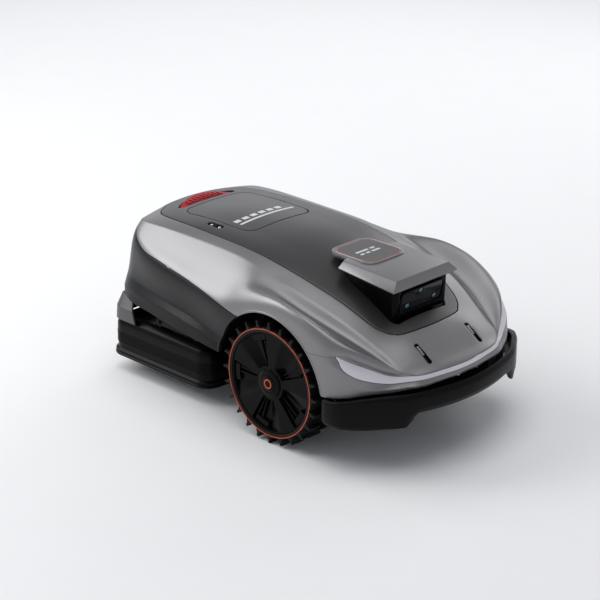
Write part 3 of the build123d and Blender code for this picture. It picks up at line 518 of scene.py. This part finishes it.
def stop_outline(grow):
    """Crescent plan of the stop button."""
    half, ends = STOP_HALF + grow, STOP_FRONT - 10
    sagitta = ends - STOP_REAR + grow
    radius = (half * half + sagitta * sagitta) / (2 * sagitta)
    centre = STOP_REAR - grow + radius
    reach = math.asin(half / radius)
    rear = [(centre - radius * math.cos(a), radius * math.sin(a)) for a in np.linspace(-reach, reach, 41)]
    front = STOP_FRONT + grow
    return [*rear, (front - 3, half - 1.5), (front, half - 6), (front, 6 - half), (front - 3, 1.5 - half)]


def slot_outline(x, y, long, wide, steps):
    """Outline of a straight slot with round ends, along X."""
    r = wide / 2
    outline = []
    for cx, start in ((x + long / 2 - r, -90), (x - long / 2 + r, 90)):
        for k in range(steps + 1):
            a = math.radians(start + 180 * k / steps)
            outline.append((cx + r * math.cos(a), y + r * math.sin(a)))
    return outline


def vision_outline(grow):
    """Plan of the camera housing."""
    right = [(96, 44), (112, 58), (150, 70), (215, 75), (262, 77), (272, 69)]
    return mirrored([(x + (grow if x > 200 else -grow), h + grow) for x, h in right])


def densely(line, step):
    """More points along a side-view line, on a smooth curve."""
    line = np.array(line, float)
    run = np.concatenate([[0], np.cumsum(np.hypot(*np.diff(line, axis=0).T))])
    places = np.linspace(0, run[-1], int(run[-1] / step))
    tagged = np.column_stack([run, line])
    return [tuple(p) for p in along(tagged, places)]


# -------------------- mouldings, cut from the one sheet
surface = clip(body_sheet(), lambda p: ARCH_R - np.hypot(p[:, 0] - WHEEL_X, p[:, 2] - WHEEL_Z))
panel = panel_outline()
top = clip(surface, plan_of(panel, 1, PANEL_GAP))
lid = clip(top, plan_of(hatch_outline()))
for hole in (hatch_outline(1.5, 2.8, 1.6, 1.5), stop_outline(0.9),
             slot_outline(RAIN_X, RAIN_Y, RAIN_LENGTH + 0.8, RAIN_WIDTH + 0.8, 12), vision_outline(0.5)):
    top = clip(top, plan_of(hole, -1))
PANEL_WALLS = [shell_wall(), bevel(0.7, 2, 50)]
add_piece("top_cover", top, PANEL_GREY, "chassis", ["top_panel"], 40, PANEL_WALLS)
add_piece("hatch_lid", lid, PANEL_GREY, "hatch", ["display_hatch"], 40, PANEL_WALLS)

# A black sheet just under the joint round the hatch is painted shade: it stands in for the shade down in the
# joint.
gap_shade = clip(surface, plan_of(hatch_outline(6, 8, 6, 4)))
gap_shade = clip(gap_shade, plan_of(hatch_outline(-5, -5, -5, -4), -1))
gap_shade = [(x, y, z - 4.2) for x, y, z in gap_shade[0]], gap_shade[1]
add_piece("hatch_gap_shade", gap_shade, BLACK, "chassis", (), 40, [shell_wall(1.2)])

belt_outline = [(-440, 316), *densely(PANEL_TOP[1:-1], 6), (12, 244.5), (30, 236), (30, 90), (-440, 90)]
rest = clip(surface, plan_of(panel, -1, PANEL_GAP))
belt = clip(rest, side_of(belt_outline, 1, GAP))
shell = clip(rest, side_of(belt_outline, -1, GAP))
# Below the fold the side panels face down into shade; that band gets the black moulding instead of the charcoal
# as painted shade.
fold_x = np.linspace(-403, 30, 120)
below_fold = [*zip(fold_x, along(SHARP, fold_x)[:, 1]), (40, 60), (-440, 60)]
for name, side in (("right", -1), ("left", 1)):
    half_belt = clip(belt, lambda p, s=side: GAP - s * p[:, 1])
    add_piece(f"flank_{name}", clip(half_belt, side_of(below_fold, -1)), CHARCOAL, "chassis",
              [f"side_panel_{name}"], 40, PANEL_WALLS)
    add_piece(f"flank_shade_band_{name}", clip(half_belt, side_of(below_fold)), BLACK, "chassis", (), 40,
              PANEL_WALLS)

strip_outline = [*densely(STRIP_HIGH, 5), *densely(STRIP_LOW, 5)]
hood_side = [(200, 192), (284, 192), (319, 167), (337, 151.5), (346, 138)]
hood = mirrored(hood_side)
strip = clip(clip(surface, side_of(strip_outline, 1, GAP / 2)), plan_of(hood, -1))
under_hood = clip(clip(shell, side_of(strip_outline, 1, -GAP / 2)), plan_of(hood, 1, GAP))
shell = joined(clip(shell, side_of(strip_outline, -1, GAP / 2)), under_hood)
reach = CONTACT_LENGTH / 2 * math.cos(DECK_SLOPE)
rear, front = CONTACT_X - reach, CONTACT_X + reach
for side in (-1, 1):
    right, left = side * CONTACT_Y - CONTACT_WIDTH / 2, side * CONTACT_Y + CONTACT_WIDTH / 2
    shell = clip(shell, plan_of(rectangle(rear, front, right, left), -1))
seam_zone = [*SEAM, (300, 214), (330, 188), (345, 180), (420, 180), (420, 90), (150, 90)]
low_nose = clip(shell, side_of(seam_zone, 1, GAP / 2))
fender = clip(low_nose, plan_of(hood, -1))
above_seam = clip(shell, side_of(seam_zone, -1, GAP / 2))
shell = joined(above_seam, clip(clip(shell, side_of(seam_zone, 1, -GAP / 2)), plan_of(hood, 1, GAP)))
add_piece("body_shell", shell, SILVER, "chassis", ["main_shell"], 40, PANEL_WALLS)
add_piece("nose_fender", fender, SILVER, "chassis", (), 40, PANEL_WALLS)
add_piece("nose_strip", strip, TRIM, "chassis", ["front_trim_strip"], 40, PANEL_WALLS)


def arch_flange(name, side, low, high, material):
    """A rounded flange along the edge of a wheel arch, between two angles."""
    rim = [(math.degrees(math.atan2(z - WHEEL_Z, x - WHEEL_X)), abs(y)) for x, y, z in surface[0]
           if abs(math.hypot(x - WHEEL_X, z - WHEEL_Z) - ARCH_R) < 0.3 and y * side > 0]
    rim = np.array(sorted(rim))
    places = np.linspace(low, high, 90)
    depths = np.interp(places, rim[:, 0], rim[:, 1])
    section = [(3.2, -0.8), (2.4, 0.5), (0.8, 0.9), (-1.0, 0.3), (-1.6, -1.4), (-1.6, -8), (0.8, -8),
               (1.2, -2.4)]
    rings = []
    for a, depth in zip(np.radians(places), depths):
        rings.append([(WHEEL_X + (ARCH_R + r) * math.cos(a), side * (depth + d),
                       WHEEL_Z + (ARCH_R + r) * math.sin(a)) for r, d in section])
    add_piece(name, loft(rings, True, True, True), material, "chassis", (), 50)


for name, side in (("right", -1), ("left", 1)):
    arch_flange(f"arch_flange_{name}", side, 9.0, 125.6, SILVER)
    arch_flange(f"flank_flange_{name}", side, 126.2, 170.5, CHARCOAL)


# -------------------- small forms
def outward(mesh):
    """Turns all faces of a closed form outwards."""
    work = bmesh.new()
    verts = [work.verts.new(p) for p in mesh[0]]
    for face in mesh[1]:
        corners = [verts[i] for i in face]
        if len(set(corners)) > 2 and work.faces.get(corners) is None:
            work.faces.new(corners)
    bmesh.ops.remove_doubles(work, verts=work.verts, dist=0.01)
    bmesh.ops.recalc_face_normals(work, faces=work.faces)
    work.verts.index_update()
    result = [tuple(v.co) for v in work.verts], [tuple(v.index for v in f.verts) for f in work.faces]
    work.free()
    return result


def revolved(profile, place, turns=96):
    """A closed form: a section (radius, distance) turned about an axis."""
    rings = [[place(2 * math.pi * k / turns, r, d) for r, d in profile] for k in range(turns)]
    count, faces = len(profile), []
    for k in range(turns):
        n = (k + 1) % turns
        for j in range(count):
            m = (j + 1) % count
            faces.append((k * count + j, k * count + m, n * count + m, n * count + j))
    return outward(([p for ring in rings for p in ring], faces))


def in_frame(mesh, matrix):
    """A form moved by a matrix, in millimetres."""
    return [tuple(matrix @ Vector(p)) for p in mesh[0]], mesh[1]


def shrunk(outline, amount):
    """An outline moved inwards by an amount."""
    count = len(outline)
    area = sum(outline[i - 1][0] * outline[i][1] - outline[i][0] * outline[i - 1][1] for i in range(count))
    turn = 1 if area > 0 else -1
    moved = []
    for i, (x, y) in enumerate(outline):
        ax, ay = outline[i - 1]
        bx, by = outline[(i + 1) % count]
        ux, uy = bx - ax, by - ay
        size = math.hypot(ux, uy) or 1.0
        moved.append((x - turn * amount * uy / size, y + turn * amount * ux / size))
    return moved


def spread(outline, step):
    """An outline with more points along its long straight sides."""
    result = []
    for i, (ax, ay) in enumerate(outline):
        bx, by = outline[(i + 1) % len(outline)]
        parts = max(1, int(math.hypot(bx - ax, by - ay) / step))
        result += [(ax + (bx - ax) * k / parts, ay + (by - ay) * k / parts) for k in range(parts)]
    return result


def stacked(outline, levels):
    """Rings of an outline, one for each (inset, height)."""
    return [[(x, y, z) for x, y in shrunk(outline, inset)] for inset, z in levels]


def solid(rings):
    """A closed form over a list of rings."""
    return outward(loft(rings, True, True, True))


def prism(outline, low, high):
    """An upright prism over an outline."""
    return solid([[(x, y, z) for x, y in outline] for z in (low, high)])


def top_height(x, y):
    """Height of the body's upper surface at a place within the top panel."""
    middle = along(CENTRE, np.array([float(x)]))[0, 1]
    half, edge = along(PANEL, np.array([float(x)]))[0]
    return middle + (edge - middle) * (y / half)**2


# -------------------- driven wheels
def wheel(name, side):
    """All pieces of one driven wheel."""
    body = f"wheel_{name}"

    def at(a, r, d):
        """A place at an angle, a radius and a distance from the mower's middle plane."""
        return (WHEEL_X + r * math.cos(a), side * d, WHEEL_Z + r * math.sin(a))

    carcass = [(104.2, 182), (106, 180.8), (110, 180.3), (112.8, 181.6), (114, 184), (114, 241),
               (112.9, 243.4), (110.2, 244.4), (106.5, 244.2), (104.4, 243)]
    forms = [revolved(carcass, at)]
    spur = [(111.5, 9.0), (114.2, 6.6), (117.0, 4.2), (120.5, 2.9), (124.5, 2.3), (TIP_R, 2.7)]
    spur = [*spur, *[(r, -t) for r, t in reversed(spur)]]
    paddle = [(112.5, 6.0), (116.0, 3.8), (121.0, 3.0), (126.0, 3.2), (TIP_R, 3.0)]
    paddle = [*paddle, *[(r, -t) for r, t in reversed(paddle)]]
    pitch = 2 * math.pi / LUGS
    for shape, near, far, offset in ((spur, 213.5, 244.8, 0.0), (paddle, 180.4, 212.5, 0.5)):
        for k in range(LUGS):
            middle = (k + offset) * pitch - math.pi / 2
            rings = []
            for d, slim in ((near, 0.9), (near + 1.5, 1.0), (far - 2.0, 1.0), (far, 0.86)):
                rings.append([at(middle + t * slim / r, r - (1 - slim) * 6 * (r > 120), d) for r, t in shape])
            forms.append(solid(rings))
    add_piece(f"lugged_tyre_{name}", joined(*forms), RUBBER, body, [f"tyre_{name}"], 32)

    # The disc's five fields: a steep wall, a low floor with ribs and an arc block, and a long sloping vane.
    fields = [-36, -27, -19, -18, -15.2, -14.8, -12.6, -12.2, -7.4, -7.0, -4.8, -4.4, 1, 6, 6.8, 8, 14, 20,
              25, 28, 32]
    radii = [27, 31, 35, 36.5, 44, 52, 60, 68, 76, 84.5, 86, 87, 93, 99, 99.6, 101, 103]

    def face(phi, r):
        """Distance of the disc's face from the middle plane, within one field."""
        if r <= 35 or r >= 101 or phi <= -19 or phi >= 28:
            return 241.5
        floor = 230.5 + (r - 36) / 60 * 2.5
        if phi > 6.8:
            return floor + (241.5 - floor) * (phi - 6.8) / 21.2
        if 87 <= r <= 99 and -15.2 <= phi <= 6:
            return 238.5
        if r <= 84.5 and (-14.8 <= phi <= -12.6 or -7.0 <= phi <= -4.8):
            return floor + 5.5
        return floor

    angles = [math.radians(centre + phi) for centre in POCKETS for phi in fields]
    rings = [[at(a, r, face(phi, r)) for a, phi in zip(angles, fields * len(POCKETS))] for r in radii]
    back = ((103.9, 240.6), (103.9, 184.5), (102, 184), (97, 184), (96, 186), (95, 221), (60, 219), (22, 219),
            (20, 200), (12, 200))
    rings += [[at(a, r, d) for a in angles] for r, d in back]
    add_piece(f"wheel_disc_{name}", outward(loft(rings)), GLOSS, body, [f"rim_{name}"], 24)
    band = [(109.9, 244.0), (110.2, 245.2), (111.5, 245.3), (112.0, 244.0)]
    add_piece(f"orange_band_{name}", revolved(band, at, 144), ORANGE, body, [f"rim_ring_{name}"], 30)
    boss = [(29.5, 240.8), (28.2, 243.8), (26, 245.2), (20, 246.0), (18.4, 246.0), (18.0, 244.9),
            (17.3, 244.9), (17.0, 246.4), (15.8, 247.0), (0.01, 247.4), (0.01, 240.8)]
    add_piece(f"hub_boss_{name}", revolved(boss, at, 64), GLOSS, body, [f"hub_cap_{name}"], 30)
    dot = [(7.2, 246.9), (7.5, 247.9), (9.7, 247.8), (10.0, 246.9)]
    add_piece(f"hub_mark_{name}", revolved(dot, at, 48), ORANGE, body, (), 30)


wheel("right", -1)
wheel("left", 1)

# -------------------- camera hood
def visor_ring(rear, middle, front):
    """One ring of the visor from three corners of its right half, each (x, half width, height)."""
    right = [(x, -h, z) for x, h, z in (rear, middle, front)]
    return [*right, *[(x, -y, z) for x, y, z in reversed(right)]]


visor = solid([visor_ring((126, 58, 347.0), (134, 76, 347.0), (272, 76, 342.0)),
               visor_ring((120, 60, 341.0), (135, 93, 337.5), (281.5, 93, 324.5)),
               visor_ring((118, 59, 337.0), (134, 91, 334.0), (279, 91, 321.0)),
               visor_ring((112, 56, 333.0), (132, 82, 332.5), (262, 80, 322.0))])
add_piece("hood_visor", visor, SILVER, "chassis", ["vision_visor"], 30, [bevel(1.2, 3, 20)])
plate = spread(rounded(68, 187, 57, 27, 12), 12)
levels = [(3, 337.0), (0.4, 340.5), (0, 345.6), (0.5, 346.9), (1.6, 347.6), (4.4, 347.8), (5.0, 347.1),
          (5.8, 347.1), (6.4, 347.8), (9.0, 347.9), (9.4, 347.2)]
add_piece("badge_plate", solid(stacked(plate, levels)), SILVER, "chassis", (), 32)
insert = spread(rounded(79, 181, 50.5, 22, 12), 12)
face = stacked(insert, [(0, 347.0), (0, 347.7), (0.5, 348.0)])
add_piece("badge_insert", solid(face), PANEL_GREY, "chassis", ["vision_badge"], 30)
outline = stacked(insert, [(-0.2, 347.6), (0.1, 348.05), (1.0, 348.05), (1.3, 347.6)])
add_piece("badge_outline", outward(loft(outline)), ORANGE, "chassis", (), 60)
marks = []
for x, lengths in ((124, (34, 12)), (137, (10, 10, 22))):
    y = -30.0
    for length in lengths:
        marks.append(prism(rectangle(x - 3, x + 3, y, y + length), 347.9, 348.25))
        y += length + 6
add_piece("badge_bars", joined(*marks), BRIGHT, "chassis", (), 30, [bevel(0.1, 1)])
softened("vision_housing", "hood_housing", "chassis", GLOSS, 1.6, 25)

WINDOW = Matrix.Translation((WINDOW_X, 0, WINDOW_Z)) @ Matrix.Rotation(WINDOW_TILT, 4, "Y")


def facing(mesh):
    """A form drawn in plan, stood up in the window's plane (its first axis up, its height outwards)."""
    turn = Matrix(((0, 0, 1, 0), (0, 1, 0, 0), (-1, 0, 0, 0), (0, 0, 0, 1)))
    return in_frame(mesh, WINDOW @ turn)


rim_outline = spread(rounded(-23.4, 23.4, 62.4, 11), 8)
rim_levels = [(0, -2.2), (0, 0.4), (0.8, 1.2), (2.0, 1.2), (2.8, 0.4), (2.8, -2.2)]
rim = outward(loft(stacked(rim_outline, rim_levels)))
add_piece("window_rim", facing(rim), GLOSS, "chassis", (), 30)
for k, (y, z) in enumerate(LENSES):
    def ring_at(a, r, d, y=y, z=z):
        """A place at an angle, a radius and a distance in front of the window."""
        return (-z + r * math.cos(a), y + r * math.sin(a), d)

    barrel = [(8.0, -2.0), (8.0, -0.4), (7.4, 0.1), (6.6, -0.2), (6.4, -2.0)]
    glass = [(6.5, -1.6), (5.6, -0.6), (4.0, 0.2), (2.0, 0.6), (0.01, 0.7), (0.01, -1.6)]
    # A teal ring on each lens is its painted glint.
    glint = [(2.6, 0.2), (2.8, 0.8), (3.9, 0.45), (4.1, 0.1)]
    add_piece(f"lens_barrel_{k + 1}", facing(revolved(barrel, ring_at, 40)), GLOSS, "chassis", (), 30)
    add_piece(f"lens_glass_{k + 1}", facing(revolved(glass, ring_at, 40)), LENS, "chassis", (), 60)
    add_piece(f"lens_painted_glint_{k + 1}", facing(revolved(glint, ring_at, 40)), PAINTED_GLINT, "chassis", (), 30)

# -------------------- charging contacts and rain sensor
for name, side in (("right", -1), ("left", 1)):
    place = Matrix.Translation((CONTACT_X, side * CONTACT_Y, CONTACT_Z - 0.6))
    place = place @ Matrix.Rotation(DECK_SLOPE, 4, "Y")
    long, half = CONTACT_LENGTH / 2 - 0.2, CONTACT_WIDTH / 2 - 0.1
    slot = spread(rounded(-long, long, half, 4.5), 6)
    tray = solid(stacked(slot, [(0, -5), (0, 0.6), (0.7, 1.3), (1.5, 1.3), (2.1, 0.4), (2.3, -2.8)]))
    add_piece(f"contact_tray_{name}", in_frame(tray, place), BLACK, "chassis", ["charging_contacts"], 30)
    fins = []
    for k in range(7):
        x = -18.5 + k * 3.1
        fins.append(prism(rectangle(x, x + 2.2, -2.6, 2.6), -2.6, 0.9 - 0.12 * k))
    add_piece(f"contact_fins_{name}", in_frame(joined(*fins), place), STEEL, "chassis", (), 30, [bevel(0.3)])
    tongue = prism([(6, -1.9), (19, -1.2), (20, 0), (19, 1.2), (6, 1.9)], -2.8, -0.4)
    add_piece(f"contact_tongue_{name}", in_frame(tongue, place), GLOSS, "chassis", (), 30, [bevel(0.4)])

tilt = Matrix.Translation((RAIN_X, RAIN_Y, RAIN_Z)) @ Matrix.Rotation(RAIN_TILT, 4, "X")
oval = spread(slot_outline(0, 0, RAIN_LENGTH, RAIN_WIDTH, 14), 4)
base = solid(stacked(oval, [(0, -6), (0, 0.6), (0.8, 1.1), (1.6, 1.1), (2.3, 0.3), (2.8, -0.6)]))
add_piece("rain_base", in_frame(base, tilt), GLOSS, "chassis", ["rain_sensor"], 30)
for k, x in enumerate((-11.5, 11.5)):
    def pin_at(a, r, d, x=x):
        """A place at an angle, a radius and a height on a contact pin."""
        return (x + r * math.cos(a), r * math.sin(a), d)

    pin = [(3.2, -0.8), (3.2, 0.6), (2.6, 1.4), (1.4, 1.9), (0.01, 2.1), (0.01, -0.8)]
    add_piece(f"rain_pin_{k + 1}", in_frame(revolved(pin, pin_at, 32), tilt), STEEL, "chassis", (), 40)
wedge = prism([(-4.2, -3.4), (4.2, -3.4), (0, 3.8)], -0.8, 2.2)
add_piece("rain_wedge", in_frame(wedge, tilt), BLACK, "chassis", (), 30, [bevel(0.5)])

# -------------------- stop button and print on the lid
crescent = stop_outline(0)


def button_top(y):
    """Height of the button's crowned top."""
    return STOP_TOP - STOP_CROWN * (y / STOP_HALF)**2


rings = []
for inset, drop in ((0.3, 26.0), (0, 3.2), (0.3, 1.3), (1.3, 0.3), (2.6, 0.0)):
    rings.append([(x, y, button_top(y) - drop) for x, y in shrunk(crescent, inset)])
add_piece("stop_cap", solid(rings), RED, "stop", ["stop_button"], 40)
grips = []
for k in range(9):
    y = -44.0 + 11 * k
    x0, x1 = STOP_REAR + 8 + 9 * (y / 60)**2, STOP_FRONT - 5
    outline = rectangle(x0, x1, y - 2.0, y + 2.0)
    grips.append(solid([[(x, v, button_top(v) + z) for x, v in outline] for z in (-1, 0.8)]))
add_piece("stop_grips", joined(*grips), RED, "stop", (), 30, [bevel(0.5)])


def printed_bar(x, y0, y1, width):
    """A thin printed bar that follows the lid."""
    count = max(2, int((y1 - y0) / 4))
    rear, front = x - width / 2, x + width / 2
    rings = []
    for k in range(count + 1):
        y = y0 + (y1 - y0) * k / count
        low, high = top_height(x, y) - 0.2, top_height(x, y) + PRINT_TOP
        rings.append([(rear, y, low), (rear, y, high), (front, y, high), (front, y, low)])
    return solid(rings)


add_piece("lid_bar", printed_bar(-155.0, -75, 76, 6.5), BRIGHT, "hatch", (), 30)
dashes = [printed_bar(-172.0, y, y + 15, 12.0) for y in (-75, -52, -29, -6, 17, 40)]
add_piece("lid_dashes", joined(*dashes), BRIGHT, "hatch", (), 30)

# -------------------- bumper
bumper_half = [(246, 255), (258, 258.4), (270, 259), (283, 257.5), (296, 253), (311, 244), (325, 231),
               (339, 215.5), (352, 198), (367, 178), (380, 158), (390, 134), (398, 108), (405, 80),
               (410, 52), (413, 25), (414, 0)]
path = densely([*[(x, -h) for x, h in bumper_half], *[(x, h) for x, h in reversed(bumper_half[:-1])]], 5.0)
rings = []
for i, (x, y) in enumerate(path):
    ax, ay = path[max(i - 1, 0)]
    bx, by = path[min(i + 1, len(path) - 1)]
    size = math.hypot(bx - ax, by - ay)
    nx, ny = (by - ay) / size, -(bx - ax) / size
    high = np.interp(x, (240, 270, 300, 330, 360, 420), (146.8, 148.5, 154, 160.5, 163.5, 164))
    low = np.interp(abs(y), (129, 134, 157, 162), (121.5, 122.5, 98.0, 97.0))
    fold = np.interp(abs(y), (0, 129, 160, 200), (134, 133, 118, 104))
    tuck = np.interp(abs(y), (0, 129, 162), (9.0, 8.0, 4.0))
    slope = np.interp(abs(y), (0, 150, 215, 245), (7.0, 6.0, 3.0, 1.4))
    shelf = np.interp(abs(y), (0, 100, 130), (18, 18, 24))
    section = [(-slope - 1.2, high), (-slope, high - 0.8), (-0.7, high - slope - 1.4),
               (0, high - slope - 3.2), (0, fold + 1.4), (-0.7, fold - 1.4), (-tuck + 1, low + 1.6),
               (-tuck, low), (-tuck - 3, low), (-12, low + 3), (-12, 133.5), (-shelf, 133.8),
               (-shelf, 136.8), (-12, 137.2), (-12, high - 3), (-10.5, high - 0.4)]
    rings.append([(x + nx * n, y + ny * n, z) for n, z in section])
for end in (0, -1):
    rings[end] = [(x + 1.6, y * 0.994, z + (2 if z < 120 else -1.5)) for x, y, z in rings[end]]
add_piece("bumper_bow", solid(rings), BLACK, "bumper", ["front_bumper"], 26)

# -------------------- cutting deck
DECK_PLAN = spread(rounded(DECK_REAR + 4, DECK_FRONT - 4, DECK_HALF - 4, DECK_CORNER, 10), 9)


def outside_notch(p):
    """A value for clip(): outside the notch of the rear wheel."""
    return np.minimum(NOTCH_HALF - np.abs(p[:, 1]), NOTCH_FRONT - p[:, 0])


def deck_form(profile):
    """A wall whose section (outset, height) is swept round the deck, open at the notch of the rear wheel."""
    rings = stacked(DECK_PLAN, [(-grow, z) for grow, z in [*profile, profile[0]]])
    return clip(outward(loft(rings)), outside_notch)


lip = [(2.4, 35.0), (4, 36.4), (4, 39.2), (1.4, 41.0), (1.4, 43.0), (3, 44.4), (3, 46.4), (0.4, 48.6),
       (-2.2, 50.2), (-2.2, 59.8), (-5.5, 59.8), (-5.5, 36.0), (-4, 35.0)]
add_piece("deck_lip", deck_form(lip), DECK_BLACK, "deck", ["deck_skirt"], 28)
ribs = []
for k in range(6):
    z = 62.8 + 4.3 * k
    ribs += [(-2.0, z), (-0.8, z + 0.4), (-0.8, z + 2.5), (-2.0, z + 2.9)]
wall = [(-2.2, 60.2), *ribs, (-1.6, 90.0), (-1.4, 92.0), (-2.0, 104.5), (-2.8, 107.0), (-6.4, 112.8),
        (-9.0, 112.8), (-5.8, 106.0), (-5.5, 60.2)]
add_piece("deck_wall", deck_form(wall), DECK_BLACK, "deck", ["deck_housing"], 28)
lid_rings = stacked(DECK_PLAN, [(6.2, 113.0), (7.2, 114.2), (18, 120.6), (20.5, 121.8), (23, 122.2)])
deck_top = outward(joined(loft(lid_rings), loft([lid_rings[-1]], True, False, True)))
add_piece("deck_lid", clip(deck_top, outside_notch), DECK_BLACK, "deck", ["deck_cover"], 28,
          [shell_wall(2.6)])
rear, front, half = DECK_REAR + 7, NOTCH_FRONT + 1.5, NOTCH_HALF + 1.5
track = rectangle(rear, front, -half, half)
notch_wall = loft([[(x, y, z) for x, y in track] for z in (40.0, 112.5)], closed=False)
add_piece("notch_wall", notch_wall, DECK_BLACK, "deck", (), 28,
          [("SOLIDIFY", {"thickness": 2.6 * MM, "offset": 0.0}), bevel(0.5)])
softened("corner_guards", "rear_guards", "deck", GUARD, 1.4, 25)
for cad, piece, body, material, width in (
        ("rear_fork", "swivel_fork", "rear_swivel", BLACK, 1.5),
        ("rear_tyre", "roller_tyre", "rear_wheel", RUBBER, 5.0),
        ("rear_rim", "roller_rim", "rear_wheel", BLACK, 0.8),
        ("lower_arms", "arm_bars", "lower_arms", BLACK, 0.8),
        ("lift_arm_frame", "arm_frame", "lift_arms", BLACK, 0.8),
        ("deck_ears", "deck_lugs", "deck", BLACK, 0.8)):
    softened(cad, piece, body, material, width, 30)

# -------------------- stage, light and camera
def area_light(name, place, target, size, power):
    """A soft rectangular light that looks at a point."""
    data = bpy.data.lights.new(name, "AREA")
    data.shape = "RECTANGLE"
    data.size, data.size_y = size
    data.energy = power
    light = placed(name, data)
    light.visible_camera = False
    light.location = place
    light.rotation_euler = (Vector(target) - Vector(place)).to_track_quat("-Z", "Y").to_euler()


floor_material = finish("pale_floor", (0.90, 0.90, 0.90), rough=0.8, grain=80, bump=0.02, mottle=0.01)
floor_mesh = bpy.data.meshes.new("floor")
floor_mesh.from_pydata([(-30, -30, 0), (30, -30, 0), (30, 30, 0), (-30, 30, 0)], [], [(0, 1, 2, 3)])
floor_mesh.materials.append(floor_material)
placed("floor", floor_mesh)

# A studio sky that is brighter at the horizon than overhead.
world = bpy.data.worlds.new("studio")
world.use_nodes = True
tree = world.node_tree
sky = tree.nodes["Background"]
sky.inputs["Color"].default_value = (0.9, 0.93, 1.0, 1)
compass = node(tree, "ShaderNodeTexCoord")
split = node(tree, "ShaderNodeSeparateXYZ")
fall = node(tree, "ShaderNodeMapRange", **{"To Min": 0.66, "To Max": 0.24})
tree.links.new(compass.outputs["Generated"], split.inputs["Vector"])
tree.links.new(split.outputs["Z"], fall.inputs["Value"])
tree.links.new(fall.outputs["Result"], sky.inputs["Strength"])
bpy.context.scene.world = world
bpy.context.scene.view_settings.view_transform = "Standard"
area_light("key_side", (-2.35, -1.1, 2.25), (0, -0.1, 0.2), (2.2, 1.7), 41)
area_light("key_left", (-2.4, -2.2, 1.95), (0, -0.1, 0.2), (1.0, 0.7), 13)
area_light("far_rear", (-2.95, 2.35, 1.35), (0, 0, 0.3), (2.0, 0.9), 6)
area_light("far_rim", (-0.6, 3.2, 1.8), (0.1, 0.1, 0.2), (2.4, 0.9), 18)
overhead = bpy.data.lights.new("overhead", "SUN")
overhead.energy = 1.0
overhead.angle = math.radians(50)
placed("overhead", overhead)

CAMERA_AZ, CAMERA_EL = math.radians(44.6), math.radians(22.0)
CAMERA_PLACE = (2.74820, -2.84748, 1.80436)
FOCAL_LENGTH, SENSOR_WIDTH = 126.0, 36.0
camera_data = bpy.data.cameras.new("camera")
camera_data.lens, camera_data.sensor_width = FOCAL_LENGTH, SENSOR_WIDTH
camera = placed("camera", camera_data)
camera.location = CAMERA_PLACE
forward = Vector((-math.sin(CAMERA_AZ) * math.cos(CAMERA_EL), math.cos(CAMERA_AZ) * math.cos(CAMERA_EL),
                  -math.sin(CAMERA_EL)))
camera.rotation_euler = forward.to_track_quat("-Z", "Y").to_euler()
bpy.context.scene.camera = camera
